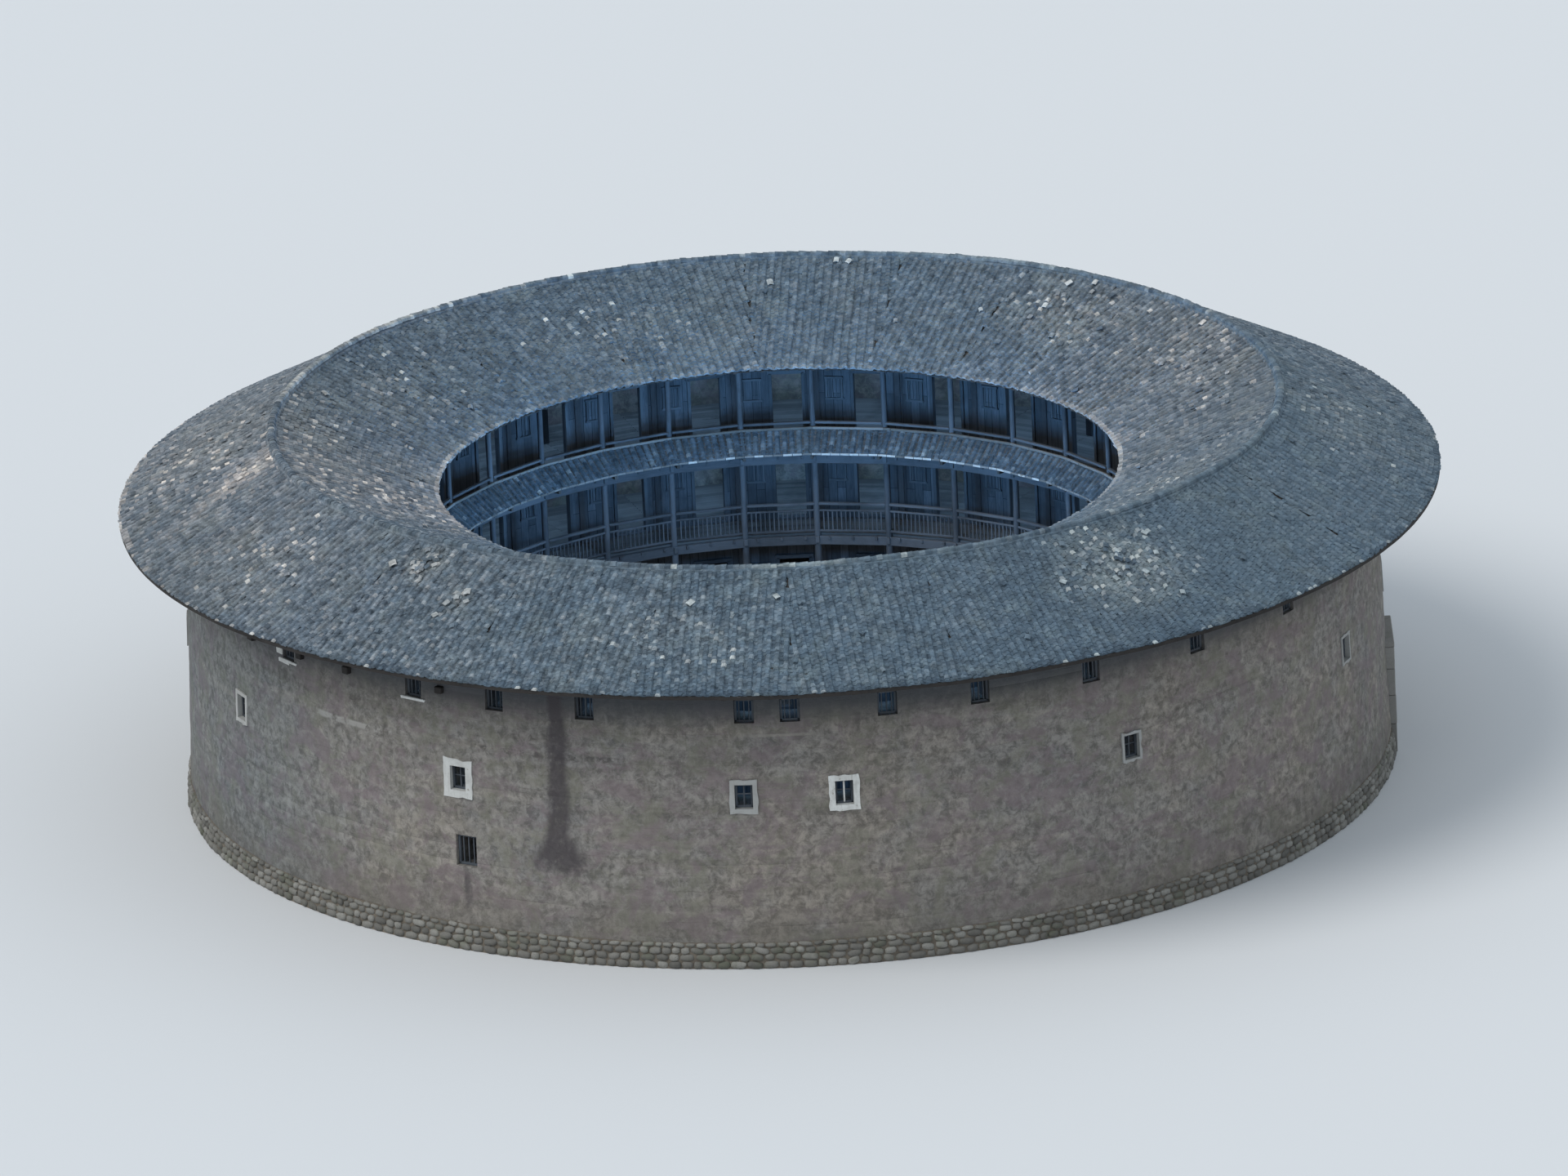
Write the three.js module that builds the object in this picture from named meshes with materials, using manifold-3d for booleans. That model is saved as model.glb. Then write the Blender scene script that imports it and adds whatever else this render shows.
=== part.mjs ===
// Round earth-walled courtyard house of three storeys: a ring of rooms under one ring roof.
// Millimetres, +Z up. The origin is the centre of the courtyard at ground level.
// Angles run from -Y towards +X, so 0 is the front (-Y) and 90 is the right side (+X), where the gate is.
import * as THREE from "three";
import { mergeVertices } from "three/addons/utils/BufferGeometryUtils.js";
import Module from "manifold-3d";

const wasm = await Module();
wasm.setup();

// ---------------------------------------------------------------- driving dimensions
const FACETS = 64; // flat faces round every ring
const BAYS = 32; // rooms on each storey
const BAY = 360 / BAYS; // degrees
const HALF = BAY / 2;
const GAP = 1; // joint between neighbouring pieces
const SIDES = ["front", "right", "back", "left"]; // in quarter turns from the front

const GROUND = 250; // ground floor and veranda above the yard
const FLOOR_2 = 3200;
const FLOOR_3 = 5520;

const WALL_IN = 14850; // inner face of the earth wall
const WALL_OUT_BASE = 16050; // outer face at the plinth
const WALL_OUT_TOP = 15820; // outer face under the roof
const PLINTH_TOP = 700;
const PLINTH_OUT = 16180;
const WALL_TOP = 8700;
const LEDGE = 7715; // step in the outer face that carries the eave timbers
const LEDGE_R = 15480;

const RIDGE_R = 13400;
const RIDGE_Z = 10150;
const EAVE_OUT_R = 17600;
const EAVE_OUT_Z = 8050;
const EAVE_IN_R = 9000;
const EAVE_IN_Z = 8300;
const ROOF_T = 180; // rafters, battens and tiles, measured upright

const POST_R = 10040; // circle of the gallery posts
const POST = 180; // square
const FRONT_IN = 11440; // room fronts, courtyard face
const FRONT_OUT = 11560;
const BEAM_IN = 9900; // beams under the gallery boards
const BEAM_OUT = 10180;
const RAIL = 900; // height of the gallery rail
const YARD_R = 9300; // veranda edge
const BOARDS = 60;

const SKIRT_IN_R = 9260; // pent roof round the yard at the third floor
const SKIRT_IN_Z = 5755;
const SKIRT_OUT_R = 9942;
const SKIRT_OUT_Z = 6290;
const SKIRT_T = 80;

const GATE_AT = 90; // gateway, on the right side
const GATE_HALF = 4.0; // half angle of the gateway in the wall, degrees
const GATE = [GATE_AT - GATE_HALF, GATE_AT + GATE_HALF];
const GATE_CLEAR = 1600;
const GATE_SILL = 300;
const GATE_HEAD = 2950;
const GATE_TOP = 3100;

const TOP_WINDOW = { w: 520, h: 640, z: 6950 };
const MID_WINDOW = { w: 480, h: 660, z: 4650 };
const VENT = { w: 620, h: 840, z: 2690, at: -32.4 };

// Window angles: the front is as seen, the far side repeats one window a room.
const TOP_AT = [-55.4, -38.05, -28.9, -19.6, -4.3, 0, 9.2, 18.2, 29.75, 42.4];
for (let a = 56.25; a < 293; a += BAY) TOP_AT.push(a);
const MID_AT = [-64.65, -33.06, -4.63, 4.77, 33.75, 67.5, 90, 123.75, 157.5, 180, 202.5, 236.25, 270];

// Where the earth wall is split: from the gateway round to the gateway.
const WALL_CUTS = [GATE[1], 140.625, 174.375, 185.625, 219.375, 264.375, 275.625, 312, 348, 362.3, 374, 409.3, 360 + GATE[0]];

const DOOR = { w: 800, h: 1750, sill: 60, at: -1.6 };

// ---------------------------------------------------------------- helpers
const rad = THREE.MathUtils.degToRad;

function solid(geometry) {
  const g = geometry.clone();
  for (const n of Object.keys(g.attributes)) if (n !== "position") g.deleteAttribute(n);
  const m = mergeVertices(g, 1e-3);
  return new wasm.Manifold(
    new wasm.Mesh({
      numProp: 3,
      vertProperties: new Float32Array(m.attributes.position.array),
      triVerts: new Uint32Array(m.index.array),
    }),
  );
}

function geometryOf(s) {
  const m = s.getMesh();
  const n = m.numProp;
  const v = new Float32Array((m.vertProperties.length / n) * 3);
  for (let i = 0; i < v.length / 3; i++) v.set(m.vertProperties.subarray(i * n, i * n + 3), i * 3);
  const g = new THREE.BufferGeometry();
  g.setAttribute("position", new THREE.BufferAttribute(v, 3));
  g.setIndex(new THREE.BufferAttribute(new Uint32Array(m.triVerts), 1));
  g.computeVertexNormals();
  return g;
}

// A ring: a closed outline of [radius, height] points, anticlockwise, turned about Z.
function ring(outline, facets = FACETS) {
  const start = facets === BAYS ? rad(HALF) : 0;
  const turned = (pts) => {
    const g = new THREE.LatheGeometry(pts, facets, start);
    g.rotateX(Math.PI / 2);
    return solid(g);
  };
  const pts = [...outline, outline[0]].map(([r, z]) => new THREE.Vector2(r, z));
  const s = turned(pts);
  return s.volume() > 0 ? s : turned(pts.reverse());
}

// A ring of straight timbers or walls that meet at the gallery posts.
const bayRing = (r0, r1, z0, z1) =>
  ring(
    [
      [r0, z0],
      [r1, z0],
      [r1, z1],
      [r0, z1],
    ],
    BAYS,
  );

// A pie slice from angle a to angle b, reaching past every ring.
function slice(a, b, z0 = -1000, z1 = 12000, r = 26000) {
  const shape = new THREE.Shape();
  shape.moveTo(0, 0);
  const n = Math.max(2, Math.ceil((b - a) / 30));
  for (let i = 0; i <= n; i++) {
    const t = rad(a + ((b - a) * i) / n);
    shape.lineTo(r * Math.sin(t), -r * Math.cos(t));
  }
  shape.closePath();
  const g = new THREE.ExtrudeGeometry(shape, { depth: z1 - z0, bevelEnabled: false });
  g.translate(0, 0, z0);
  return solid(g);
}

// The stretch of a ring from a to b, with a small joint at each end.
function sector(s, a, b, r = 15000) {
  const d = THREE.MathUtils.radToDeg(GAP / 2 / r);
  return s.intersect(slice(a + d, b - d));
}

// A box w wide, from radius r0 to r1 and height z0 to z1, at an angle.
function bar(w, r0, r1, z0, z1, at) {
  const g = new THREE.BoxGeometry(w, r1 - r0, z1 - z0);
  g.translate(0, -(r0 + r1) / 2, (z0 + z1) / 2);
  g.rotateZ(rad(at));
  return solid(g);
}

// An upright square timber.
const post = (w, r, z0, z1, at) => bar(w, r - w / 2, r + w / 2, z0, z1, at);

const join = (list) => list.reduce((a, b) => a.add(b));
const cut = (s, list) => list.reduce((a, b) => a.subtract(b), s);

const roofOut = (r) => RIDGE_Z - ((RIDGE_Z - EAVE_OUT_Z) * (r - RIDGE_R)) / (EAVE_OUT_R - RIDGE_R);
const roofIn = (r) => RIDGE_Z - ((RIDGE_Z - EAVE_IN_Z) * (RIDGE_R - r)) / (RIDGE_R - EAVE_IN_R);
const wallOut = (z) => WALL_OUT_BASE + ((WALL_OUT_TOP - WALL_OUT_BASE) * (z - PLINTH_TOP)) / (LEDGE - PLINTH_TOP);
const FLAT = Math.cos(rad(HALF)); // middle of a straight bay, as a part of its corner radius
const grid = (k) => HALF + k * BAY;

// ---------------------------------------------------------------- finishes
const finish = (name, color, roughness, metalness = 0) => Object.assign(new THREE.MeshStandardMaterial({ color, roughness, metalness }), { name });
const EARTH = finish("rammed_earth", 0x8c7a66, 0.95);
const STONE = finish("river_stone", 0x77746c, 0.9);
const GRANITE = finish("granite", 0x8e8c86, 0.8);
const TIMBER = finish("timber", 0x4b4038, 0.85);
const PLANKS = finish("planks", 0x564a40, 0.85);
const TILE = finish("roof_tile", 0x5a6064, 0.85);
const LIME = finish("ridge_mortar", 0x8a8f90, 0.85);

const house = new THREE.Group();
const group = (name) => {
  const g = new THREE.Group();
  g.name = name;
  house.add(g);
  return g;
};
function place(parent, name, s, material, turn = 0) {
  const mesh = new THREE.Mesh(s.isBufferGeometry ? s : geometryOf(s), material);
  mesh.name = name;
  mesh.rotation.z = rad(turn);
  parent.add(mesh);
  return mesh;
}

// ---------------------------------------------------------------- stone plinth
const stonework = group("stonework_group");
{
  const full = ring([
    [WALL_IN, 0],
    [PLINTH_OUT, 0],
    [PLINTH_OUT - 60, PLINTH_TOP - GAP],
    [WALL_IN, PLINTH_TOP - GAP],
  ]);
  place(stonework, "plinth_back", sector(full, GATE[1], 270), STONE);
  place(stonework, "plinth_front", sector(full, 270, 360 + GATE[0]), STONE);
}

// ---------------------------------------------------------------- earth wall with its windows
{
  const walls = group("wall_group");
  const full = ring([
    [WALL_IN, PLINTH_TOP],
    [WALL_OUT_BASE, PLINTH_TOP],
    [WALL_OUT_TOP, LEDGE],
    [LEDGE_R, LEDGE],
    [LEDGE_R, WALL_TOP],
    [WALL_IN, WALL_TOP],
  ]);
  const hole = (o, at) => bar(o.w, WALL_IN - 300, WALL_OUT_BASE + 300, o.z - o.h / 2, o.z + o.h / 2, at);
  const within = (at, a, b) => [-360, 0, 360].some((t) => at + t > a && at + t < b);
  const openings = (a, b) => [
    ...TOP_AT.filter((t) => within(t, a, b)).map((t) => hole(TOP_WINDOW, t)),
    ...MID_AT.filter((t) => within(t, a, b)).map((t) => hole(MID_WINDOW, t)),
    ...(within(VENT.at, a, b) ? [hole(VENT, VENT.at)] : []),
  ];
  for (let i = 0; i + 1 < WALL_CUTS.length; i++) {
    const [a, b] = [WALL_CUTS[i], WALL_CUTS[i + 1]];
    place(walls, "outer_wall_" + (i + 1), cut(sector(full, a, b), openings(a, b)), EARTH);
  }
  const over = ring([
    [WALL_IN, GATE_TOP + GAP],
    [wallOut(GATE_TOP), GATE_TOP + GAP],
    [WALL_OUT_TOP, LEDGE],
    [LEDGE_R, LEDGE],
    [LEDGE_R, WALL_TOP],
    [WALL_IN, WALL_TOP],
  ]);
  place(walls, "wall_over_gate", cut(sector(over, ...GATE), openings(...GATE)), EARTH);
}

// ---------------------------------------------------------------- gate
{
  const gate = group("gate_group");
  const block = sector(
    ring([
      [15450, 0],
      [PLINTH_OUT, 0],
      [PLINTH_OUT - 40, GATE_TOP],
      [WALL_IN + 5, GATE_TOP],
      [WALL_IN + 5, GATE_HEAD],
      [15450, GATE_HEAD],
    ]),
    ...GATE,
  );
  place(gate, "gate_frame", block.subtract(bar(GATE_CLEAR, 15300, 17000, GATE_SILL, GATE_HEAD - 1, GATE_AT)), GRANITE);
  // The two leaves stand open along the sides of the passage.
  const leafShape = new THREE.BoxGeometry(790, 80, GATE_HEAD - GROUND - 50);
  for (const [name, side] of [
    ["gate_leaf_left", -1],
    ["gate_leaf_right", 1],
  ]) {
    const leaf = place(gate, name, leafShape, PLANKS);
    leaf.position.set(14985, side * (GATE_CLEAR / 2 + 50), (GROUND + GATE_HEAD) / 2 - 20);
  }
}

// ---------------------------------------------------------------- floors
const galleryPosts = [];
const ridgePosts = [];
for (let k = 0; k < BAYS; k++) galleryPosts.push(grid(k));
for (let k = 0; k < BAYS; k += 2) ridgePosts.push(grid(k));
{
  const floors = group("floor_group");
  const base = ring([
    [YARD_R, 0],
    [WALL_IN - 2, 0],
    [WALL_IN - 2, GROUND],
    [YARD_R, GROUND],
  ]);
  const tongue = sector(
    ring([
      [WALL_IN - 40, 0],
      [15448, 0],
      [15448, GROUND],
      [WALL_IN - 40, GROUND],
    ]),
    ...GATE,
  );
  place(floors, "ground_floor", base.add(tongue), STONE);

  for (const [n, z] of [
    [2, FLOOR_2],
    [3, FLOOR_3],
  ]) {
    place(floors, "gallery_floor_" + n, bayRing(POST_R + POST / 2 + 16, FRONT_IN - 2, z - BOARDS, z), PLANKS);
    const room = ring([
      [FRONT_IN, z - 80],
      [WALL_IN - 2, z - 80],
      [WALL_IN - 2, z],
      [FRONT_IN, z],
    ]);
    place(floors, "room_floor_" + n, room.subtract(bayRing(FRONT_IN - 400, FRONT_OUT + 2, z - 200, z + 200)), PLANKS);
  }
}

// ---------------------------------------------------------------- galleries round the yard
{
  const galleries = group("gallery_group");
  const eaveTop = Math.floor(roofIn((POST_R - 100) * FLAT) - ROOF_T) - 5;
  const railed = (z) =>
    ring(
      [
        [BEAM_IN, z - BOARDS - 240],
        [BEAM_OUT, z - BOARDS - 240],
        [BEAM_OUT, z - BOARDS - GAP],
        [POST_R - 20, z - BOARDS - GAP],
        [POST_R - 20, z + RAIL],
        [POST_R - 80, z + RAIL],
        [POST_R - 80, z - BOARDS - GAP],
        [BEAM_IN, z - BOARDS - GAP],
      ],
      BAYS,
    );
  const rings = [railed(FLOOR_2), railed(FLOOR_3), bayRing(POST_R - 100, POST_R + 100, eaveTop - 200, eaveTop)];
  const frame = join([
    ...rings.map((r) => sector(r, -45, 45, POST_R)),
    ...[-3.5, -2.5, -1.5, -0.5, 0.5, 1.5, 2.5, 3.5].map((k) => post(POST, POST_R, GROUND + GAP, eaveTop - 100, k * BAY)),
  ]);
  const shape = geometryOf(frame);
  SIDES.forEach((side, i) => place(galleries, "gallery_frame_" + side, shape, TIMBER, 90 * i));
}

// ---------------------------------------------------------------- room fronts behind the galleries
{
  const fronts = group("room_front_group");
  const top = Math.floor(roofIn(FRONT_IN * FLAT) - ROOF_T) - 6;
  const full = bayRing(FRONT_IN, FRONT_OUT, GROUND + GAP, top);
  const a = -3 * BAY - HALF;
  for (let q = 0; q < 4; q++) {
    const holes = [];
    for (let k = 0; k < 8; k++) {
      const at = a + HALF + k * BAY;
      for (const z of [GROUND, FLOOR_2, FLOOR_3]) {
        const hall = q === 1 && k === 3 && z === GROUND; // the entrance hall behind the gate is open
        if (hall) {
          holes.push(bar(1800, FRONT_IN - 300, FRONT_OUT + 300, z - 50, z + 2400, at));
          continue;
        }
        holes.push(bar(DOOR.w, FRONT_IN - 300, FRONT_OUT + 300, z + DOOR.sill, z + DOOR.sill + DOOR.h, at + DOOR.at));
      }
    }
    place(fronts, "room_front_" + SIDES[q], cut(sector(full, a, a + 90, FRONT_IN), holes), PLANKS, 90 * q);
  }
}

// ---------------------------------------------------------------- pent roof over the yard side
{
  const skirt = group("skirt_group");
  place(
    skirt,
    "skirt_roof",
    ring(
      [
        [SKIRT_IN_R, SKIRT_IN_Z - SKIRT_T],
        [SKIRT_OUT_R, SKIRT_OUT_Z - SKIRT_T],
        [SKIRT_OUT_R, SKIRT_OUT_Z],
        [SKIRT_IN_R, SKIRT_IN_Z],
      ],
      BAYS,
    ),
    TILE,
  );
}

// ---------------------------------------------------------------- timbers that carry the roof
{
  const frame = group("roof_frame_group");
  const eaveTop = Math.floor(roofOut(17220) - ROOF_T) - 12;
  const arms = galleryPosts.map((t) => bar(130, LEDGE_R + 20, 17190, LEDGE + 5, LEDGE + 185, t));
  const eaves = join([bayRing(17060, 17220, LEDGE + 165, eaveTop), ...arms]);
  place(frame, "outer_eave_frame_front", sector(eaves, -90, 90, 17140), TIMBER);
  place(frame, "outer_eave_frame_back", sector(eaves, 90, 270, 17140), TIMBER);

  const plateTop = Math.floor(roofOut(15350) - ROOF_T) - 10;
  place(frame, "wall_plate", bayRing(15150, 15350, WALL_TOP + GAP, plateTop), TIMBER);

  const ridgeTop = Math.floor(roofIn(13300 * FLAT) - ROOF_T) - 8;
  place(
    frame,
    "ridge_frame",
    join([bayRing(13300, 13500, ridgeTop - 200, ridgeTop), ...ridgePosts.map((t) => post(180, RIDGE_R, FLOOR_3 + GAP, ridgeTop - 100, t))]),
    TIMBER,
  );
}

// ---------------------------------------------------------------- main roof
{
  const roof = group("roof_group");
  const outer = geometryOf(
    sector(
      ring([
        [RIDGE_R + 1, roofOut(RIDGE_R + 1) - ROOF_T],
        [EAVE_OUT_R, EAVE_OUT_Z - ROOF_T],
        [EAVE_OUT_R, EAVE_OUT_Z],
        [RIDGE_R + 1, roofOut(RIDGE_R + 1)],
      ]),
      -45,
      45,
    ),
  );
  const inner = geometryOf(
    sector(
      ring([
        [EAVE_IN_R, EAVE_IN_Z - ROOF_T],
        [RIDGE_R - 1, roofIn(RIDGE_R - 1) - ROOF_T],
        [RIDGE_R - 1, roofIn(RIDGE_R - 1)],
        [EAVE_IN_R, EAVE_IN_Z],
      ]),
      -45,
      45,
    ),
  );
  SIDES.forEach((side, i) => {
    place(roof, "outer_roof_" + side, outer, TILE, 90 * i);
    place(roof, "inner_roof_" + side, inner, TILE, 90 * i);
  });
  place(
    roof,
    "ridge_tiles",
    ring([
      [RIDGE_R - 115, roofIn(RIDGE_R - 115) + 2],
      [RIDGE_R, RIDGE_Z + 2],
      [RIDGE_R + 115, roofOut(RIDGE_R + 115) + 2],
      [RIDGE_R, RIDGE_Z + 90],
    ]),
    LIME,
  );
}

export default house;
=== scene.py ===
import math

import bpy
import numpy as np
from mathutils import Matrix, Vector


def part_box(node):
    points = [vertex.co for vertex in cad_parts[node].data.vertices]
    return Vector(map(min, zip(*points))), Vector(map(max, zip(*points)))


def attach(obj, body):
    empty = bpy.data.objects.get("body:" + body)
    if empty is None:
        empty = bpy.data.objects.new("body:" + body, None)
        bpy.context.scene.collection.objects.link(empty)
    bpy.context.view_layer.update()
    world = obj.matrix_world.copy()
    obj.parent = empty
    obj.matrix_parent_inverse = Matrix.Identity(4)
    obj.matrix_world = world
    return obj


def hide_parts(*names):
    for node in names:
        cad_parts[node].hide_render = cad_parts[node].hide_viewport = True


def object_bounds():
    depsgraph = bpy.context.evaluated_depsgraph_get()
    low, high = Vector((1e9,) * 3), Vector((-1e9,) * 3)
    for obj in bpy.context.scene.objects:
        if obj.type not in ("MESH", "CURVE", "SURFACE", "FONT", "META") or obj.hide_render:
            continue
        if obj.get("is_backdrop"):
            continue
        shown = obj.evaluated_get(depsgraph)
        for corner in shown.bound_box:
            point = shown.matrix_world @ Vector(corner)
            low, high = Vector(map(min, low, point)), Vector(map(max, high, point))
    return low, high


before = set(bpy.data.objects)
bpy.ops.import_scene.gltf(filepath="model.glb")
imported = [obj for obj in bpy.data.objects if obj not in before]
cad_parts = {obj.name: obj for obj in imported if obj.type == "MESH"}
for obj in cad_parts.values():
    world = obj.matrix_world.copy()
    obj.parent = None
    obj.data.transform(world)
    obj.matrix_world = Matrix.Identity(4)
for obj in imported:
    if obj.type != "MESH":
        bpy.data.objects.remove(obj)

CAD_BOX = [[float(c) for c in p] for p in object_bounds()]
rng = np.random.default_rng(20)

# ------------------------------------------------------------------ dimensions, in metres, as in the CAD
BAYS = 32
BAY = 360 / BAYS
HALF = BAY / 2
GROUND, FLOOR_2, FLOOR_3 = 0.25, 3.20, 5.52
WALL_IN, WALL_OUT_BASE, WALL_OUT_TOP = 14.85, 16.05, 15.82
PLINTH_TOP, PLINTH_OUT = 0.70, 16.18
LEDGE, LEDGE_R, WALL_TOP = 7.715, 15.48, 8.70
RIDGE_R, RIDGE_Z = 13.40, 10.15
EAVE_OUT_R, EAVE_OUT_Z = 17.60, 8.05
EAVE_IN_R, EAVE_IN_Z = 9.00, 8.30
ROOF_T = 0.18
POST_R = 10.04
BEAM_IN, BEAM_OUT = 9.90, 10.18
RAIL = 0.90
FRONT_IN, FRONT_OUT = 11.44, 11.56
YARD_R = 9.30
SKIRT_IN_R, SKIRT_IN_Z, SKIRT_OUT_R, SKIRT_OUT_Z = 9.26, 5.755, 9.942, 6.29
GATE = 90.0
WALL_CUTS = [94, 140.625, 174.375, 185.625, 219.375, 264.375, 275.625, 312, 348, 362.3, 374, 409.3, 446]
SIDES = ["front", "right", "back", "left"]
TOP = dict(w=0.52, h=0.64, z=6.95)
MID = dict(w=0.48, h=0.66, z=4.65)
VENT = dict(w=0.62, h=0.84, z=2.69)
TOP_AT = [-55.4, -38.05, -28.9, -19.6, -4.3, 0, 9.2, 18.2, 29.75, 42.4]
a = 56.25
while a < 293:
    TOP_AT.append(a)
    a += BAY
MID_AT = [-64.65, -33.06, -4.63, 4.77, 33.75, 67.5, 90, 123.75, 157.5, 180, 202.5, 236.25, 270]
VENT_AT = [-32.4]
FLAT = math.cos(math.radians(HALF))


def grid(k):
    return HALF + k * BAY


def roof_out(r):
    return RIDGE_Z - (RIDGE_Z - EAVE_OUT_Z) * (r - RIDGE_R) / (EAVE_OUT_R - RIDGE_R)


def roof_in(r):
    return RIDGE_Z - (RIDGE_Z - EAVE_IN_Z) * (RIDGE_R - r) / (RIDGE_R - EAVE_IN_R)


def wall_out(z):
    return WALL_OUT_BASE + (WALL_OUT_TOP - WALL_OUT_BASE) * (z - PLINTH_TOP) / (LEDGE - PLINTH_TOP)


# ------------------------------------------------------------------ seeded noise
def lattice(x, y, z, seed):
    h = (x.astype(np.int64) * 73856093) ^ (y.astype(np.int64) * 19349663) ^ (z.astype(np.int64) * 83492791) ^ (seed * 2654435761)
    h &= 0xFFFFFFFF
    h = ((h ^ (h >> 16)) * 0x45D9F3B) & 0xFFFFFFFF
    h = ((h ^ (h >> 16)) * 0x45D9F3B) & 0xFFFFFFFF
    return (h ^ (h >> 16)) / 4294967295.0


def noise(p, seed=0):
    """Smooth noise from 0 to 1 at points p (N, 3)."""
    p = np.asarray(p, float)
    f = np.floor(p)
    t = p - f
    t = t * t * (3 - 2 * t)
    f = f.astype(np.int64)
    out = 0
    for dx in (0, 1):
        for dy in (0, 1):
            for dz in (0, 1):
                w = np.where(dx, t[..., 0], 1 - t[..., 0]) * np.where(dy, t[..., 1], 1 - t[..., 1]) * np.where(dz, t[..., 2], 1 - t[..., 2])
                out = out + w * lattice(f[..., 0] + dx, f[..., 1] + dy, f[..., 2] + dz, seed)
    return out


def fbm(p, seed=0, octaves=3):
    p = np.asarray(p, float)
    out, amp, total = 0, 1.0, 0
    for k in range(octaves):
        out = out + amp * noise(p * 2**k, seed + k)
        total += amp
        amp *= 0.5
    return out / total


def pol(phi, r, z):
    """Point at an angle in degrees (0 is -Y, 90 is +X), a radius and a height."""
    phi, r, z = np.broadcast_arrays(np.asarray(phi, float), np.asarray(r, float), np.asarray(z, float))
    t = np.radians(phi)
    return np.stack([r * np.sin(t), -r * np.cos(t), z], -1)


def axes_at(phi):
    """Tangent, outward and up directions at an angle."""
    t = np.radians(np.asarray(phi, float))
    o = np.zeros_like(t)
    return (
        np.stack([np.cos(t), np.sin(t), o], -1),
        np.stack([np.sin(t), -np.cos(t), o], -1),
        np.stack([o, o, o + 1], -1),
    )


# ------------------------------------------------------------------ materials
class Tree:
    """Short names for the nodes of one material."""

    def __init__(self, name, rough=0.85):
        self.m = bpy.data.materials.new(name)
        self.m.use_nodes = True
        self.nt = self.m.node_tree
        self.bsdf = next(n for n in self.nt.nodes if n.type == "BSDF_PRINCIPLED")
        self.bsdf.inputs["Roughness"].default_value = rough
        self.bsdf.inputs["Specular IOR Level"].default_value = 0.25
        self.obj = self.nt.nodes.new("ShaderNodeTexCoord").outputs["Object"]

    def node(self, kind, **values):
        n = self.nt.nodes.new(kind)
        for k, v in values.items():
            setattr(n, k, v)
        return n

    def put(self, socket, value):
        if isinstance(value, bpy.types.NodeSocket):
            self.nt.links.new(value, socket)
        elif isinstance(value, (tuple, list)) and len(value) == 3 and socket.type == "RGBA":
            socket.default_value = (*value, 1)
        else:
            socket.default_value = value

    def attr(self, name):
        return self.node("ShaderNodeAttribute", attribute_name=name).outputs["Fac"]

    def math(self, op, a, b=0.0, clamp=False):
        n = self.node("ShaderNodeMath", operation=op, use_clamp=clamp)
        self.put(n.inputs[0], a)
        if len(n.inputs) > 1:
            self.put(n.inputs[1], b)
        return n.outputs[0]

    def scaled(self, sx, sy, sz, source=None):
        n = self.node("ShaderNodeVectorMath", operation="MULTIPLY")
        self.put(n.inputs[0], source or self.obj)
        n.inputs[1].default_value = (sx, sy, sz)
        return n.outputs[0]

    def noise(self, scale, detail=3.0, rough=0.55, vec=None, distortion=0.0):
        n = self.node("ShaderNodeTexNoise")
        self.put(n.inputs["Vector"], vec or self.obj)
        n.inputs["Scale"].default_value = scale
        n.inputs["Detail"].default_value = detail
        n.inputs["Roughness"].default_value = rough
        n.inputs["Distortion"].default_value = distortion
        return n.outputs["Fac"]

    def voronoi(self, scale, feature="F1", vec=None, out="Distance"):
        n = self.node("ShaderNodeTexVoronoi", feature=feature)
        self.put(n.inputs["Vector"], vec or self.obj)
        n.inputs["Scale"].default_value = scale
        return n.outputs[out]

    def band(self, value, lo, hi, a=0.0, b=1.0):
        """value remapped from lo..hi to a..b, clamped and smoothed."""
        n = self.node("ShaderNodeMapRange", interpolation_type="SMOOTHSTEP")
        self.put(n.inputs["Value"], value)
        for k, v in (("From Min", lo), ("From Max", hi), ("To Min", a), ("To Max", b)):
            n.inputs[k].default_value = v
        return n.outputs["Result"]

    def ramp(self, fac, stops):
        n = self.node("ShaderNodeValToRGB")
        e = n.color_ramp.elements
        while len(e) < len(stops):
            e.new(0.5)
        for el, (pos, col) in zip(e, stops):
            el.position = pos
            el.color = (*col, 1)
        self.put(n.inputs["Fac"], fac)
        return n.outputs["Color"]

    def mix(self, fac, a, b, blend="MIX"):
        n = self.node("ShaderNodeMix", data_type="RGBA", blend_type=blend)
        self.put(n.inputs[0], fac)
        self.put(n.inputs[6], a)
        self.put(n.inputs[7], b)
        return n.outputs[2]

    def bump(self, height, strength=0.4, distance=0.01, normal=None):
        n = self.node("ShaderNodeBump")
        n.inputs["Strength"].default_value = strength
        n.inputs["Distance"].default_value = distance
        self.put(n.inputs["Height"], height)
        if normal is not None:
            self.put(n.inputs["Normal"], normal)
        return n.outputs["Normal"]

    def around(self, radius):
        """(length along a circle of this radius, height, distance from the centre)"""
        s = self.node("ShaderNodeSeparateXYZ")
        self.put(s.inputs[0], self.obj)
        ang = self.math("ARCTAN2", s.outputs["X"], self.math("MULTIPLY", s.outputs["Y"], -1.0))
        r = self.math("SQRT", self.math("ADD", self.math("MULTIPLY", s.outputs["X"], s.outputs["X"]), self.math("MULTIPLY", s.outputs["Y"], s.outputs["Y"])))
        return self.math("MULTIPLY", ang, radius), s.outputs["Z"], r

    def combine(self, x, y, z=0.0):
        n = self.node("ShaderNodeCombineXYZ")
        for k, v in zip("XYZ", (x, y, z)):
            self.put(n.inputs[k], v)
        return n.outputs[0]

    def done(self, color, rough=None, normal=None):
        self.put(self.bsdf.inputs["Base Color"], color)
        if rough is not None:
            self.put(self.bsdf.inputs["Roughness"], rough)
        if normal is not None:
            self.put(self.bsdf.inputs["Normal"], normal)
        return self.m


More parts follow.
